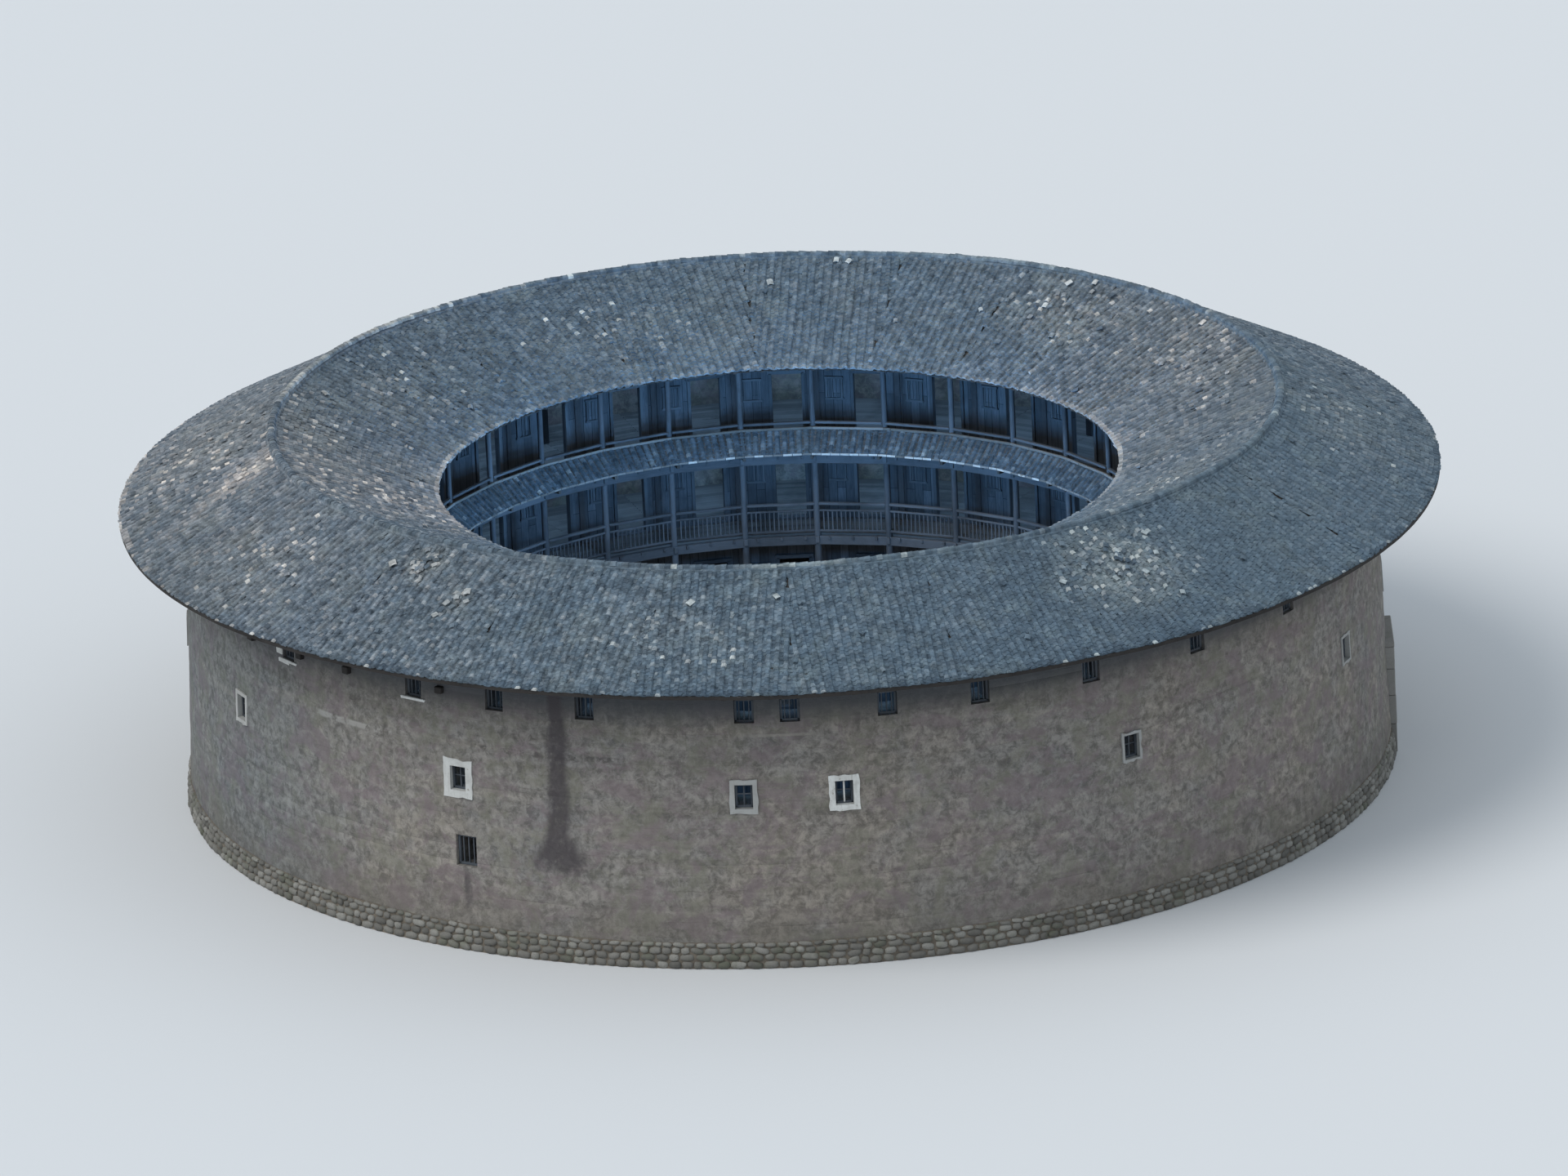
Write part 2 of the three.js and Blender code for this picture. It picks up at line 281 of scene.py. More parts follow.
def tile_material(name="tile_clay", light=1.0):
    """tone is how pale one tile is, patch how disturbed the place is, warm how far it is a paler, browner grey:
    weathering, and painted light on the slopes that face the light
    """
    t = Tree(name)
    tone, patch, warm = t.attr("tone"), t.attr("patch"), t.attr("warm")
    shade = lambda r, g, b: (r * light, g * light, b * light)
    c = [shade(*q) for q in ((0.044, 0.060, 0.078), (0.086, 0.113, 0.138), (0.142, 0.166, 0.186), (0.245, 0.255, 0.258), (0.46, 0.46, 0.43))]
    base = t.ramp(tone, [(0.0, c[0]), (0.28, c[1]), (0.60, c[2]), (0.85, c[3]), (1.0, c[4])])
    # dirt and lichen that lie across the rows
    broad = t.noise(0.28, 4, 0.6)
    base = t.mix(t.band(broad, 0.42, 0.68, 0.0, 0.42), base, shade(0.078, 0.102, 0.118))
    mid = t.noise(1.1, 4, 0.65, distortion=0.6)
    base = t.mix(t.band(mid, 0.48, 0.72, 0.0, 0.50), base, shade(0.150, 0.176, 0.180))
    arc, z, r = t.around(15.0)
    s = t.node("ShaderNodeSeparateXYZ")
    t.put(s.inputs[0], t.obj)
    run = t.noise(1.0, 3, 0.6, vec=t.combine(*(t.math("MULTIPLY", t.math("DIVIDE", s.outputs[k], r), 22.5) for k in "XY"), t.math("MULTIPLY", r, 0.12)))
    base = t.mix(t.band(run, 0.50, 0.74, 0.0, 0.30), base, shade(0.074, 0.094, 0.110))
    pale = t.math("MULTIPLY", patch, t.band(t.noise(2.6, 4, 0.75), 0.36, 0.60, 0.0, 1.0))
    base = t.mix(t.math("MULTIPLY", pale, 0.45), base, shade(0.26, 0.285, 0.27))
    # the right side has kept more even than the left
    even = t.band(t.math("ABSOLUTE", t.math("SUBTRACT", arc, math.radians(58) * 15.0)), math.radians(20) * 15.0, math.radians(80) * 15.0, 0.5, 0.9)
    mottle = t.math("ADD", 1.0, t.math("MULTIPLY", t.band(t.noise(3.3, 4, 0.75), 0.34, 0.66, -0.34, 0.34), even))
    base = t.mix(1.0, base, t.combine_grey(mottle), "MULTIPLY")
    lichen = t.band(t.noise(12.0, 3, 0.6), 0.62, 0.72)
    base = t.mix(t.math("MULTIPLY", lichen, 0.40), base, shade(0.27, 0.30, 0.28))
    grime = t.band(t.noise(6.5, 4, 0.75), 0.32, 0.60, 0.74, 1.05)
    base = t.mix(1.0, base, t.combine_grey(grime), "MULTIPLY")
    # where warm is high the tiles are paler and less blue: weathering, and painted light on the slopes that face the
    # light
    wob = t.math("ADD", warm, t.math("MULTIPLY", t.math("SUBTRACT", t.noise(0.55, 4, 0.65), 0.5), 0.7), True)
    base = t.mix(1.0, base, t.mix(wob, (0.89, 0.99, 1.06), (1.42, 1.25, 1.18)), "MULTIPLY")
    rough = t.band(mid, 0.3, 0.7, 0.78, 0.95)
    n = t.bump(t.noise(60.0, 3, 0.6), 0.35, 0.004)
    return t.done(base, rough, n)


def _grey(self, v):
    n = self.node("ShaderNodeCombineColor")
    for k in ("Red", "Green", "Blue"):
        self.put(n.inputs[k], v)
    return n.outputs[0]


Tree.combine_grey = _grey


def earth_material():
    t = Tree("earth_rammed", 0.95)
    arc, z, r = t.around(16.0)
    flat = t.combine(arc, z)
    ring = t.scaled(1.0, 1.0, 0.0)
    wob = t.node("ShaderNodeVectorMath", operation="ADD")
    t.put(wob.inputs[0], flat)
    t.put(wob.inputs[1], t.combine(0.0, t.math("MULTIPLY", t.math("SUBTRACT", t.noise(0.35, 3), 0.5), 0.22)))
    brick = t.node("ShaderNodeTexBrick", offset=0.45, offset_frequency=2, squash=1.0, squash_frequency=2)
    t.put(brick.inputs["Vector"], wob.outputs[0])
    for k, v in (("Scale", 1.0), ("Mortar Size", 0.010), ("Mortar Smooth", 1.0), ("Bias", 0.0), ("Brick Width", 2 * math.pi * 16 / 53), ("Row Height", 0.42)):
        brick.inputs[k].default_value = v
    t.put(brick.inputs["Color1"], (0.207, 0.191, 0.173))
    t.put(brick.inputs["Color2"], (0.191, 0.179, 0.164))
    t.put(brick.inputs["Mortar"], (0.199, 0.185, 0.168))
    base = brick.outputs["Color"]
    joint = t.math("MULTIPLY", brick.outputs["Fac"], t.band(t.noise(0.9, 4, 0.65, vec=t.scaled(1.0, 1.0, 3.0)), 0.44, 0.62, 0.0, 0.55))
    # broad weathering: warm, grey and pale areas
    n1 = t.noise(0.22, 4, 0.6)
    base = t.mix(t.band(n1, 0.45, 0.66, 0.0, 0.65), base, (0.232, 0.200, 0.166))
    n2 = t.noise(0.5, 5, 0.65, distortion=0.5)
    base = t.mix(t.band(n2, 0.50, 0.70, 0.0, 0.60), base, (0.172, 0.168, 0.166))
    # the lifts weather apart: some courses are paler, some darker
    course = t.noise(1.0, 3, 0.55, vec=t.scaled(0.14, 0.14, 2.4))
    base = t.mix(t.band(course, 0.54, 0.72, 0.0, 0.40), base, (0.245, 0.218, 0.182))
    base = t.mix(t.band(course, 0.46, 0.30, 0.0, 0.40), base, (0.128, 0.113, 0.097))
    base = t.mix(joint, base, (0.118, 0.102, 0.086))
    # streaks run down the face
    streak = t.noise(1.0, 4, 0.6, vec=t.scaled(2.6, 2.6, 0.16))
    base = t.mix(t.band(streak, 0.52, 0.74, 0.0, 0.34), base, (0.118, 0.106, 0.094))
    pale = t.noise(1.0, 4, 0.6, vec=t.scaled(0.9, 0.9, 2.0))
    base = t.mix(t.band(pale, 0.60, 0.78, 0.0, 0.45), base, (0.262, 0.236, 0.198))

    def level(at, half, p0, p1, soft):
        """1 inside a stretch of the wall at a height, with a ragged edge"""
        rag = t.math("MULTIPLY", t.math("SUBTRACT", t.noise(1.3, 4, 0.7), 0.5), soft)
        off = t.math("ABSOLUTE", t.math("ADD", t.math("SUBTRACT", z, at), rag))
        c, w = math.radians((p0 + p1) / 2) * 16, math.radians((p1 - p0) / 2) * 16
        along = t.math("ABSOLUTE", t.math("SUBTRACT", arc, c))
        return t.math("MULTIPLY", t.band(off, half * 0.45, half * 1.25, 1.0, 0.0), t.band(along, w - 0.5, w + 0.3, 1.0, 0.0))

    # blotches a hand or two wide, some olive, some purple
    blotch = t.noise(4.2, 5, 0.75, distortion=0.4)
    base = t.mix(1.0, base, t.combine_grey(t.band(blotch, 0.34, 0.66, 0.62, 1.38)), "MULTIPLY")
    base = t.mix(t.band(t.noise(0.95, 6, 0.72, distortion=0.5), 0.48, 0.62, 0.0, 0.58), base, (0.178, 0.172, 0.134))
    base = t.mix(t.band(t.noise(0.8, 6, 0.72, vec=t.scaled(1.0, 1.0, 1.5), distortion=0.6), 0.48, 0.62, 0.0, 0.66), base, (0.184, 0.146, 0.152))
    flat_mottle = t.noise(1.0, 4, 0.7, vec=t.scaled(2.2, 2.2, 7.0))
    base = t.mix(1.0, base, t.combine_grey(t.band(flat_mottle, 0.34, 0.66, 0.95, 1.05)), "MULTIPLY")
    # pale and dark courses
    blot = t.band(t.noise(2.6, 5, 0.75), 0.44, 0.58)
    for at, half, p0, p1, soft, col, amount in (
        (5.52, 0.09, -51.5, -39.7, 0.12, (0.38, 0.36, 0.33), 0.92),
        (5.58, 0.09, -31.5, -16.0, 0.14, (0.074, 0.068, 0.064), 0.78),
        (3.38, 0.17, -45.5, -24.0, 0.34, (0.275, 0.25, 0.215), 0.34),
        (6.28, 0.045, -4.2, 2.2, 0.04, (0.31, 0.285, 0.25), 0.62),
        (6.14, 0.10, -7.4, -6.0, 0.12, (0.33, 0.31, 0.275), 0.70),
        (6.03, 0.10, 0.7, 2.1, 0.12, (0.33, 0.31, 0.275), 0.66),
        (5.50, 0.09, -180.0, 180.0, 0.22, (0.118, 0.103, 0.089), 0.20),
        (3.40, 0.11, -180.0, 180.0, 0.26, (0.262, 0.236, 0.200), 0.20),
    ):
        m = level(at, half, p0, p1, soft)
        m = t.math("MULTIPLY", m, blot) if half > 0.07 else m
        base = t.mix(t.math("MULTIPLY", m, amount), base, col)
    # the left side has gone greyer
    left = t.math("MULTIPLY", t.band(arc, math.radians(-62) * 16, math.radians(-40) * 16, 1.0, 0.0), t.band(arc, math.radians(-165) * 16, math.radians(-115) * 16, 0.0, 1.0))
    base = t.mix(left, base, t.mix(1.0, base, (0.79, 0.87, 0.93), "MULTIPLY"))
    # pits and gravel
    grain = t.noise(9.0, 5, 0.7)
    base = t.mix(t.band(grain, 0.55, 0.75, 0.0, 0.35), base, (0.108, 0.094, 0.080))
    gravel = t.band(t.voronoi(16.0), 0.0, 0.16, 0.5, 0.0)
    base = t.mix(gravel, base, (0.255, 0.24, 0.22))
    # damp foot of the wall; under the eaves, drips mixed with painted shade, and a bluish painted shade just below them
    foot = t.math("MULTIPLY", t.band(z, 0.7, 2.4, 1.0, 0.0), t.band(t.noise(0.9, 4, 0.6), 0.3, 0.62, 0.2, 1.0))
    base = t.mix(t.math("MULTIPLY", foot, 0.5), base, (0.112, 0.102, 0.089))
    # drips that darken the wall towards the eaves: drip stains with painted shade mixed in
    drip_and_shade = t.noise(1.0, 4, 0.65, vec=t.scaled(3.4, 3.4, 0.25))
    reach = t.math("ADD", z, t.math("MULTIPLY", t.math("SUBTRACT", drip_and_shade, 0.5), 1.6))
    base = t.mix(t.band(reach, 5.9, 7.4, 0.0, 0.66), base, (0.098, 0.088, 0.079))
    # painted shade: the wall goes bluish dark just under the eaves
    base = t.mix(t.band(z, 6.35, 7.25, 0.0, 0.76), base, (0.050, 0.058, 0.068))
    # the long dark run-off stain on the front, and the short one below the vent
    stain = None
    for at, z0, z1, w0, w1, amount in ((-22.5, 2.35, 7.3, 0.88, 0.33, 1.0), (-32.4, 1.15, 2.22, 0.20, 0.13, 0.75), (143.0, 3.9, 7.2, 0.30, 0.15, 0.7), (-128.0, 4.4, 7.2, 0.26, 0.13, 0.6)):
        centre = math.radians(at) * 16.0
        edge = t.math("MULTIPLY", t.math("SUBTRACT", t.noise(1.6, 4, 0.65), 0.5), 0.34)
        off = t.math("ABSOLUTE", t.math("ADD", t.math("SUBTRACT", arc, centre), edge))
        spread = t.math("MULTIPLY", t.band(z, z0 + 0.35, z0 + 1.25, w0, w1), t.band(z, z1 - 1.5, z1 - 0.2, 1.0, 0.62))
        side = t.band(t.math("DIVIDE", off, spread), 0.45, 1.25, 1.0, 0.0)
        low = t.band(t.math("ADD", z, t.math("MULTIPLY", t.math("SUBTRACT", t.noise(2.3, 4, 0.7), 0.5), 1.1)), z0 - 0.25, z0 + 0.45, 0.0, 1.0)
        high = t.band(z, z1 - 0.4, z1 + 0.3, 1.0, 0.0) if z1 < 6 else 1.0
        m = t.math("MULTIPLY", t.math("MULTIPLY", side, t.math("MULTIPLY", low, high)), amount)
        stain = m if stain is None else t.math("MAXIMUM", stain, m)
    stain = t.math("MULTIPLY", stain, t.band(t.noise(3.2, 5, 0.7), 0.28, 0.50, 0.55, 1.0))
    base = t.mix(t.math("MULTIPLY", stain, 0.84), base, (0.058, 0.050, 0.054))
    h = t.math("ADD", t.math("MULTIPLY", grain, 0.7), t.math("MULTIPLY", joint, -0.5))
    n = t.bump(h, 0.6, 0.03)
    n = t.bump(t.noise(45.0, 4, 0.7), 0.4, 0.008, n)
    return t.done(base, t.band(n2, 0.3, 0.7, 0.9, 0.98), n)


def wood_material(name, dark, mid, pale, along="z", plank=None):
    """Aged timber. along gives the way the grain runs: up, round the ring or across it."""
    t = Tree(name, 0.8)
    arc, z, r = t.around(10.0)
    if along == "z":
        vec = t.combine(t.math("MULTIPLY", arc, 9.0), t.math("MULTIPLY", z, 0.9), t.math("MULTIPLY", r, 9.0))
    elif along == "arc":
        vec = t.combine(t.math("MULTIPLY", arc, 0.9), t.math("MULTIPLY", z, 9.0), t.math("MULTIPLY", r, 9.0))
    else:
        vec = t.combine(t.math("MULTIPLY", arc, 9.0), t.math("MULTIPLY", z, 9.0), t.math("MULTIPLY", r, 0.9))
    grain = t.noise(2.4, 5, 0.6, vec=vec, distortion=0.8)
    base = t.ramp(grain, [(0.25, dark), (0.5, mid), (0.78, pale)])
    tone = t.attr("tone")
    base = t.mix(t.band(tone, 0.0, 1.0, 0.0, 0.55), t.mix(0.45, base, dark), pale) if plank is None else base
    height = grain
    if plank:
        brick = t.node("ShaderNodeTexBrick", offset=0.5, offset_frequency=2)
        t.put(brick.inputs["Vector"], t.combine(z, arc))
        for k, v in (("Scale", 1.0), ("Mortar Size", 0.006), ("Mortar Smooth", 0.2), ("Bias", 0.0), ("Brick Width", 2.7), ("Row Height", plank)):
            brick.inputs[k].default_value = v
        t.put(brick.inputs["Color1"], (0.55, 0.55, 0.55))
        t.put(brick.inputs["Color2"], (1.0, 1.0, 1.0))
        t.put(brick.inputs["Mortar"], (0.12, 0.12, 0.12))
        base = t.mix(1.0, base, brick.outputs["Color"], "MULTIPLY")
        height = t.math("ADD", t.math("MULTIPLY", grain, 0.3), t.math("MULTIPLY", brick.outputs["Fac"], -1.0))
    smoke = t.noise(0.7, 4, 0.6)
    base = t.mix(t.band(smoke, 0.45, 0.7, 0.0, 0.6), base, tuple(v * 0.55 for v in dark))
    n = t.bump(height, 0.5, 0.008)
    return t.done(base, t.band(grain, 0.2, 0.8, 0.72, 0.92), n)


def stone_material(name, dark, mid, pale, moss=0.35):
    t = Tree(name, 0.85)
    tone = t.attr("tone")
    base = t.ramp(tone, [(0.0, dark), (0.5, mid), (1.0, pale)])
    n1 = t.noise(6.0, 5, 0.65)
    base = t.mix(t.band(n1, 0.35, 0.7, 0.0, 0.5), base, mid)
    speck = t.band(t.noise(55.0, 2, 0.5), 0.58, 0.68, 0.0, 0.55)
    base = t.mix(speck, base, tuple(v * 0.5 for v in dark))
    green = t.math("MULTIPLY", t.band(t.noise(1.3, 4, 0.65), 0.5, 0.68), moss)
    base = t.mix(green, base, (0.085, 0.10, 0.05))
    n = t.bump(t.math("ADD", n1, t.math("MULTIPLY", t.noise(40.0, 3), 0.3)), 0.5, 0.012)
    return t.done(base, t.band(n1, 0.3, 0.7, 0.72, 0.92), n)


def lime_material(name="lime_plaster", light=1.0):
    """light is how far the limewash is still white; the tone of a piece makes it duller"""
    t = Tree(name, 0.9)
    n1 = t.noise(3.0, 5, 0.7)
    white = lambda r, g, b: (r * light, g * light, b * light)
    base = t.ramp(n1, [(0.3, white(0.50, 0.49, 0.46)), (0.55, white(0.66, 0.66, 0.63)), (0.8, white(0.76, 0.76, 0.74))])
    base = t.mix(t.band(t.attr("tone"), 0.5, 1.0, 0.0, 0.75), base, (0.20, 0.20, 0.195))
    run = t.noise(1.0, 4, 0.6, vec=t.scaled(9.0, 9.0, 1.2))
    base = t.mix(t.band(run, 0.52, 0.75, 0.0, 0.50), base, white(0.30, 0.285, 0.255))
    chip = t.band(t.noise(5.0, 4, 0.75), 0.62, 0.68)
    base = t.mix(t.math("MULTIPLY", chip, 0.8), base, white(0.25, 0.22, 0.18))
    n = t.bump(t.noise(22.0, 4, 0.7), 0.4, 0.006)
    return t.done(base, 0.9, n)


def mortar_material():
    t = Tree("earth_mortar", 0.95)
    n1 = t.noise(7.0, 5, 0.7)
    base = t.ramp(n1, [(0.3, (0.10, 0.085, 0.068)), (0.6, (0.17, 0.145, 0.115)), (0.85, (0.23, 0.20, 0.165))])
    n = t.bump(n1, 0.6, 0.02)
    return t.done(base, 0.95, n)


def packed_earth_material():
    t = Tree("packed_earth", 0.95)
    n1 = t.noise(1.2, 5, 0.65)
    base = t.ramp(n1, [(0.3, (0.13, 0.11, 0.09)), (0.6, (0.19, 0.165, 0.135)), (0.85, (0.25, 0.22, 0.18))])
    peb = t.band(t.voronoi(12.0), 0.0, 0.2, 0.6, 0.0)
    base = t.mix(peb, base, (0.24, 0.23, 0.21))
    n = t.bump(t.math("ADD", n1, peb), 0.5, 0.015)
    return t.done(base, 0.95, n)


TILE = tile_material("tile_clay", 1.12)
TILE_IN = tile_material("tile_clay_yard", 1.08)
# the pent roof's tiles are a darker copy of the tile colours: painted shade
SKIRT_TILE = tile_material("tile_clay_pent", 0.56)
RIDGE_TILE = tile_material("tile_clay_ridge", 1.05)
EARTH = earth_material()
# posts, beams and room fronts are a lightened blue grey: grey weathered timber with the blue of the hazy shade in the
# yard painted in
WOOD_POST = wood_material("timber_posts", (0.040, 0.046, 0.054), (0.070, 0.080, 0.093), (0.115, 0.128, 0.145), "z")
WOOD_RING = wood_material("timber_beams", (0.040, 0.045, 0.052), (0.070, 0.079, 0.091), (0.112, 0.124, 0.140), "arc")
# the rafter timber is darker than the other timbers: painted shade under the eaves
WOOD_OUT = wood_material("timber_rafters", (0.030, 0.028, 0.027), (0.056, 0.053, 0.050), (0.095, 0.090, 0.085), "r")
WOOD_BOARD = wood_material("timber_boards", (0.070, 0.069, 0.069), (0.120, 0.119, 0.118), (0.190, 0.188, 0.186), "arc")
WOOD_FRONT = wood_material("timber_room_fronts", (0.052, 0.060, 0.072), (0.084, 0.097, 0.114), (0.120, 0.137, 0.160), "z", plank=0.21)
WOOD_DECK = wood_material("timber_deck", (0.038, 0.036, 0.035), (0.070, 0.066, 0.063), (0.118, 0.112, 0.106), "arc", plank=0.25)
# very dark timber: painted shade, for the eave board under the tile ends and the timber ends under the eaves
TAIL_WOOD = wood_material("timber_ends", (0.020, 0.018, 0.017), (0.036, 0.032, 0.030), (0.060, 0.054, 0.050), "r")
LIME = lime_material()
EDGING = lime_material("lime_edging", 0.62)
EDGING_DARK = lime_material("lime_edging_weathered", 0.16)
MORTAR = mortar_material()
FLOOR_EARTH = packed_earth_material()
RIVER = stone_material("river_stones", (0.10, 0.095, 0.085), (0.17, 0.162, 0.145), (0.27, 0.26, 0.235))
GRANITE = stone_material("granite_blocks", (0.19, 0.183, 0.17), (0.25, 0.242, 0.225), (0.33, 0.32, 0.30), 0.2)


# ------------------------------------------------------------------ mesh building
class Shape:
    """Vertices, four- and three-cornered faces, and three numbers a vertex that the materials read."""

    def __init__(self):
        self.v, self.q, self.t, self.tone, self.patch, self.warm, self.n = [], [], [], [], [], [], 0

    def add(self, v, q=None, t=None, tone=0.5, patch=0.0, warm=0.25):
        v = np.asarray(v, float).reshape(-1, 3)
        if q is not None and len(q):
            self.q.append(np.asarray(q, np.int64).reshape(-1, 4) + self.n)
        if t is not None and len(t):
            self.t.append(np.asarray(t, np.int64).reshape(-1, 3) + self.n)
        self.v.append(v)
        self.tone.append(np.broadcast_to(np.asarray(tone, float), (len(v),)))
        self.patch.append(np.broadcast_to(np.asarray(patch, float), (len(v),)))
        self.warm.append(np.broadcast_to(np.asarray(warm, float), (len(v),)))
        self.n += len(v)

    def make(self, name, material, slot, replaces=(), smooth=None):
        me = bpy.data.meshes.new(name)
        v = np.concatenate(self.v).astype(np.float32)
        q = np.concatenate(self.q) if self.q else np.zeros((0, 4), np.int64)
        t = np.concatenate(self.t) if self.t else np.zeros((0, 3), np.int64)
        corners = np.concatenate([q.ravel(), t.ravel()]).astype(np.int32)
        starts = np.concatenate([np.arange(len(q)) * 4, len(q) * 4 + np.arange(len(t)) * 3]).astype(np.int32)
        me.vertices.add(len(v))
        me.vertices.foreach_set("co", v.ravel())
        me.loops.add(len(corners))
        me.loops.foreach_set("vertex_index", corners)
        me.polygons.add(len(starts))
        me.polygons.foreach_set("loop_start", starts)
        for k, data in (("tone", self.tone), ("patch", self.patch), ("warm", self.warm)):
            at = me.attributes.new(k, "FLOAT", "POINT")
            at.data.foreach_set("value", np.concatenate(data).astype(np.float32))
        me.update(calc_edges=True)
        me.validate()
        if smooth is None:
            me.polygons.foreach_set("use_smooth", np.zeros(len(me.polygons), bool))
        else:
            me.polygons.foreach_set("use_smooth", np.ones(len(me.polygons), bool))
            me.set_sharp_from_angle(angle=math.radians(smooth))
        me.materials.append(material)
        ob = bpy.data.objects.new(name, me)
        bpy.context.scene.collection.objects.link(ob)
        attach(ob, "root")
        if replaces:
            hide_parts(*replaces)
        return ob


def _oriented(verts, faces):
    """faces turned so that they point away from the middle of a convex shape"""
    mid = verts.mean(0)
    out = []
    for f in faces:
        p = verts[list(f)]
        n = np.cross(p[1] - p[0], p[2] - p[0])
        out.append(tuple(f) if np.dot(n, p.mean(0) - mid) > 0 else tuple(reversed(f)))
    return out


def _block_template():
    signs = [(x, y, z) for x in (-1, 1) for y in (-1, 1) for z in (-1, 1)]
    idx = {s: i for i, s in enumerate(signs)}
    v = np.array([[s[a] * (1.0 if a == ax else 0.8) for a in range(3)] for s in signs for ax in range(3)])
    q, t = [], []
    for ax in range(3):
        b, c = [k for k in range(3) if k != ax]
        for sa in (-1, 1):
            face = []
            for sb, sc in ((-1, -1), (1, -1), (1, 1), (-1, 1)):
                s = [0, 0, 0]
                s[ax], s[b], s[c] = sa, sb, sc
                face.append(idx[tuple(s)] * 3 + ax)
            q.append(face)
        for sb in (-1, 1):
            for sc in (-1, 1):
                s0, s1 = [0, 0, 0], [0, 0, 0]
                s0[ax], s0[b], s0[c] = -1, sb, sc
                s1[ax], s1[b], s1[c] = 1, sb, sc
                i0, i1 = idx[tuple(s0)] * 3, idx[tuple(s1)] * 3
                q.append([i0 + b, i1 + b, i1 + c, i0 + c])
    for s in signs:
        i = idx[s] * 3
        t.append([i, i + 1, i + 2])
    sgn = np.array([s for s in signs for _ in range(3)], float)
    inset = np.array([[0.0 if a == ax else 1.0 for a in range(3)] for _ in signs for ax in range(3)])
    return sgn, inset, np.array(_oriented(v, q)), np.array(_oriented(v, t))


BLOCK = _block_template()
_cs = np.array([(x, y, z) for x in (-1, 1) for y in (-1, 1) for z in (-1, 1)], float)
CUBE_Q = np.array(_oriented(_cs, [(0, 1, 3, 2), (4, 5, 7, 6), (0, 1, 5, 4), (2, 3, 7, 6), (0, 2, 6, 4), (1, 3, 7, 5)]))


def blocks(shape, centre, X, Y, Z, half, edge=None, tone=0.5, jitter=0.0, patch=0.0):
    """Boxes with the given middles, directions and half sizes; edge is the width of the bevel."""
    centre, X, Y, Z, half = (np.asarray(k, float).reshape(-1, 3) for k in (centre, X, Y, Z, half))
    n = max(len(centre), len(X), len(half))
    centre, X, Y, Z, half = (np.broadcast_to(k, (n, 3)) for k in (centre, X, Y, Z, half))
    if edge:
        sgn, inset, q, t = BLOCK
        local = sgn[None] * (half[:, None] - inset[None] * np.minimum(edge, half.min(1) * 0.6)[:, None, None])
    else:
        q, t = CUBE_Q, None
        local = _cs[None] * half[:, None]
    if jitter:
        local = local + rng.normal(0, jitter, local.shape)
    v = centre[:, None] + local[..., 0:1] * X[:, None] + local[..., 1:2] * Y[:, None] + local[..., 2:3] * Z[:, None]
    m = local.shape[1]
    base = (np.arange(n) * m)[:, None, None]
    tone = np.repeat(np.broadcast_to(np.asarray(tone, float), (n,)), m)
    patch = np.repeat(np.broadcast_to(np.asarray(patch, float), (n,)), m)
    shape.add(v.reshape(-1, 3), (q[None] + base).reshape(-1, 4), None if t is None else (t[None] + base).reshape(-1, 3), tone, patch)


def radial_bars(shape, phi, r0, r1, z0, z1, w, edge=None, tone=None, slope=None, jitter=0.0):
    """Bars that run outward at the given angles. slope is how far they rise from r0 to r1."""
    phi = np.atleast_1d(np.asarray(phi, float))
    X, Y, Z = axes_at(phi)
    mid = pol(phi, (np.asarray(r0) + r1) / 2, (np.asarray(z0) + z1) / 2)
    length = np.broadcast_to(np.asarray(r1, float) - r0, phi.shape)
    if slope is not None:
        d = Y * length[:, None] + Z * np.broadcast_to(np.asarray(slope, float), phi.shape)[:, None]
        full = np.linalg.norm(d, axis=1)
        Y = d / full[:, None]
        Z = np.cross(X, Y)
        length = full
    h = np.stack([np.broadcast_to(np.asarray(w, float) / 2, phi.shape), length / 2, np.broadcast_to((np.asarray(z1, float) - z0) / 2, phi.shape)], -1)
    if tone is None:
        tone = rng.random(len(phi))
    blocks(shape, mid, X, Y, Z, h, edge, tone, jitter)


def between(shape, p, q, w, h, edge=None, tone=None, up=(0, 0, 1)):
    """Straight timbers from points p to points q, w wide and h high."""
    p, q = np.asarray(p, float).reshape(-1, 3), np.asarray(q, float).reshape(-1, 3)
    d = q - p
    length = np.linalg.norm(d, axis=1)
    X = d / length[:, None]
    Y = np.cross(np.broadcast_to(np.asarray(up, float), X.shape), X)
    Y /= np.linalg.norm(Y, axis=1)[:, None]
    Z = np.cross(X, Y)
    half = np.stack([length / 2, np.full(len(p), w / 2), np.full(len(p), h / 2)], -1)
    if tone is None:
        tone = rng.random(len(p))
    blocks(shape, (p + q) / 2, X, Y, Z, half, edge, tone)


def round_posts(shape, foot, height, radius, sides=10, rings=5, taper=0.1, wobble=0.006, tone=None):
    """Upright round timbers with capped ends."""
    foot = np.asarray(foot, float).reshape(-1, 3)
    for i, f in enumerate(foot):
        a = np.linspace(0, 2 * np.pi, sides, endpoint=False) + rng.random() * 6
        k = np.linspace(0, 1, rings)
        bend = rng.normal(0, wobble, (rings, 2))
        bend[0] = bend[-1] = 0
        r = radius * (1 - taper * k)[:, None] * (1 + rng.normal(0, 0.02, (rings, sides)))
        x = f[0] + bend[:, :1] + r * np.cos(a)
        y = f[1] + bend[:, 1:] + r * np.sin(a)
        z = np.broadcast_to((f[2] + height * k)[:, None], x.shape)
        v = np.stack([x, y, z], -1).reshape(-1, 3)
        j = np.arange(sides)
        jn = (j + 1) % sides
        q = np.concatenate([np.stack([m * sides + j, m * sides + jn, (m + 1) * sides + jn, (m + 1) * sides + j], -1) for m in range(rings - 1)])
        v = np.concatenate([v, [[f[0], f[1], f[2]], [f[0], f[1], f[2] + height]]])
        top = rings * sides + 1
        tr = np.concatenate([np.stack([jn, j, np.full(sides, rings * sides)], -1), np.stack([(rings - 1) * sides + j, (rings - 1) * sides + jn, np.full(sides, top)], -1)])
        shape.add(v, q, tr, rng.random() if tone is None else tone)


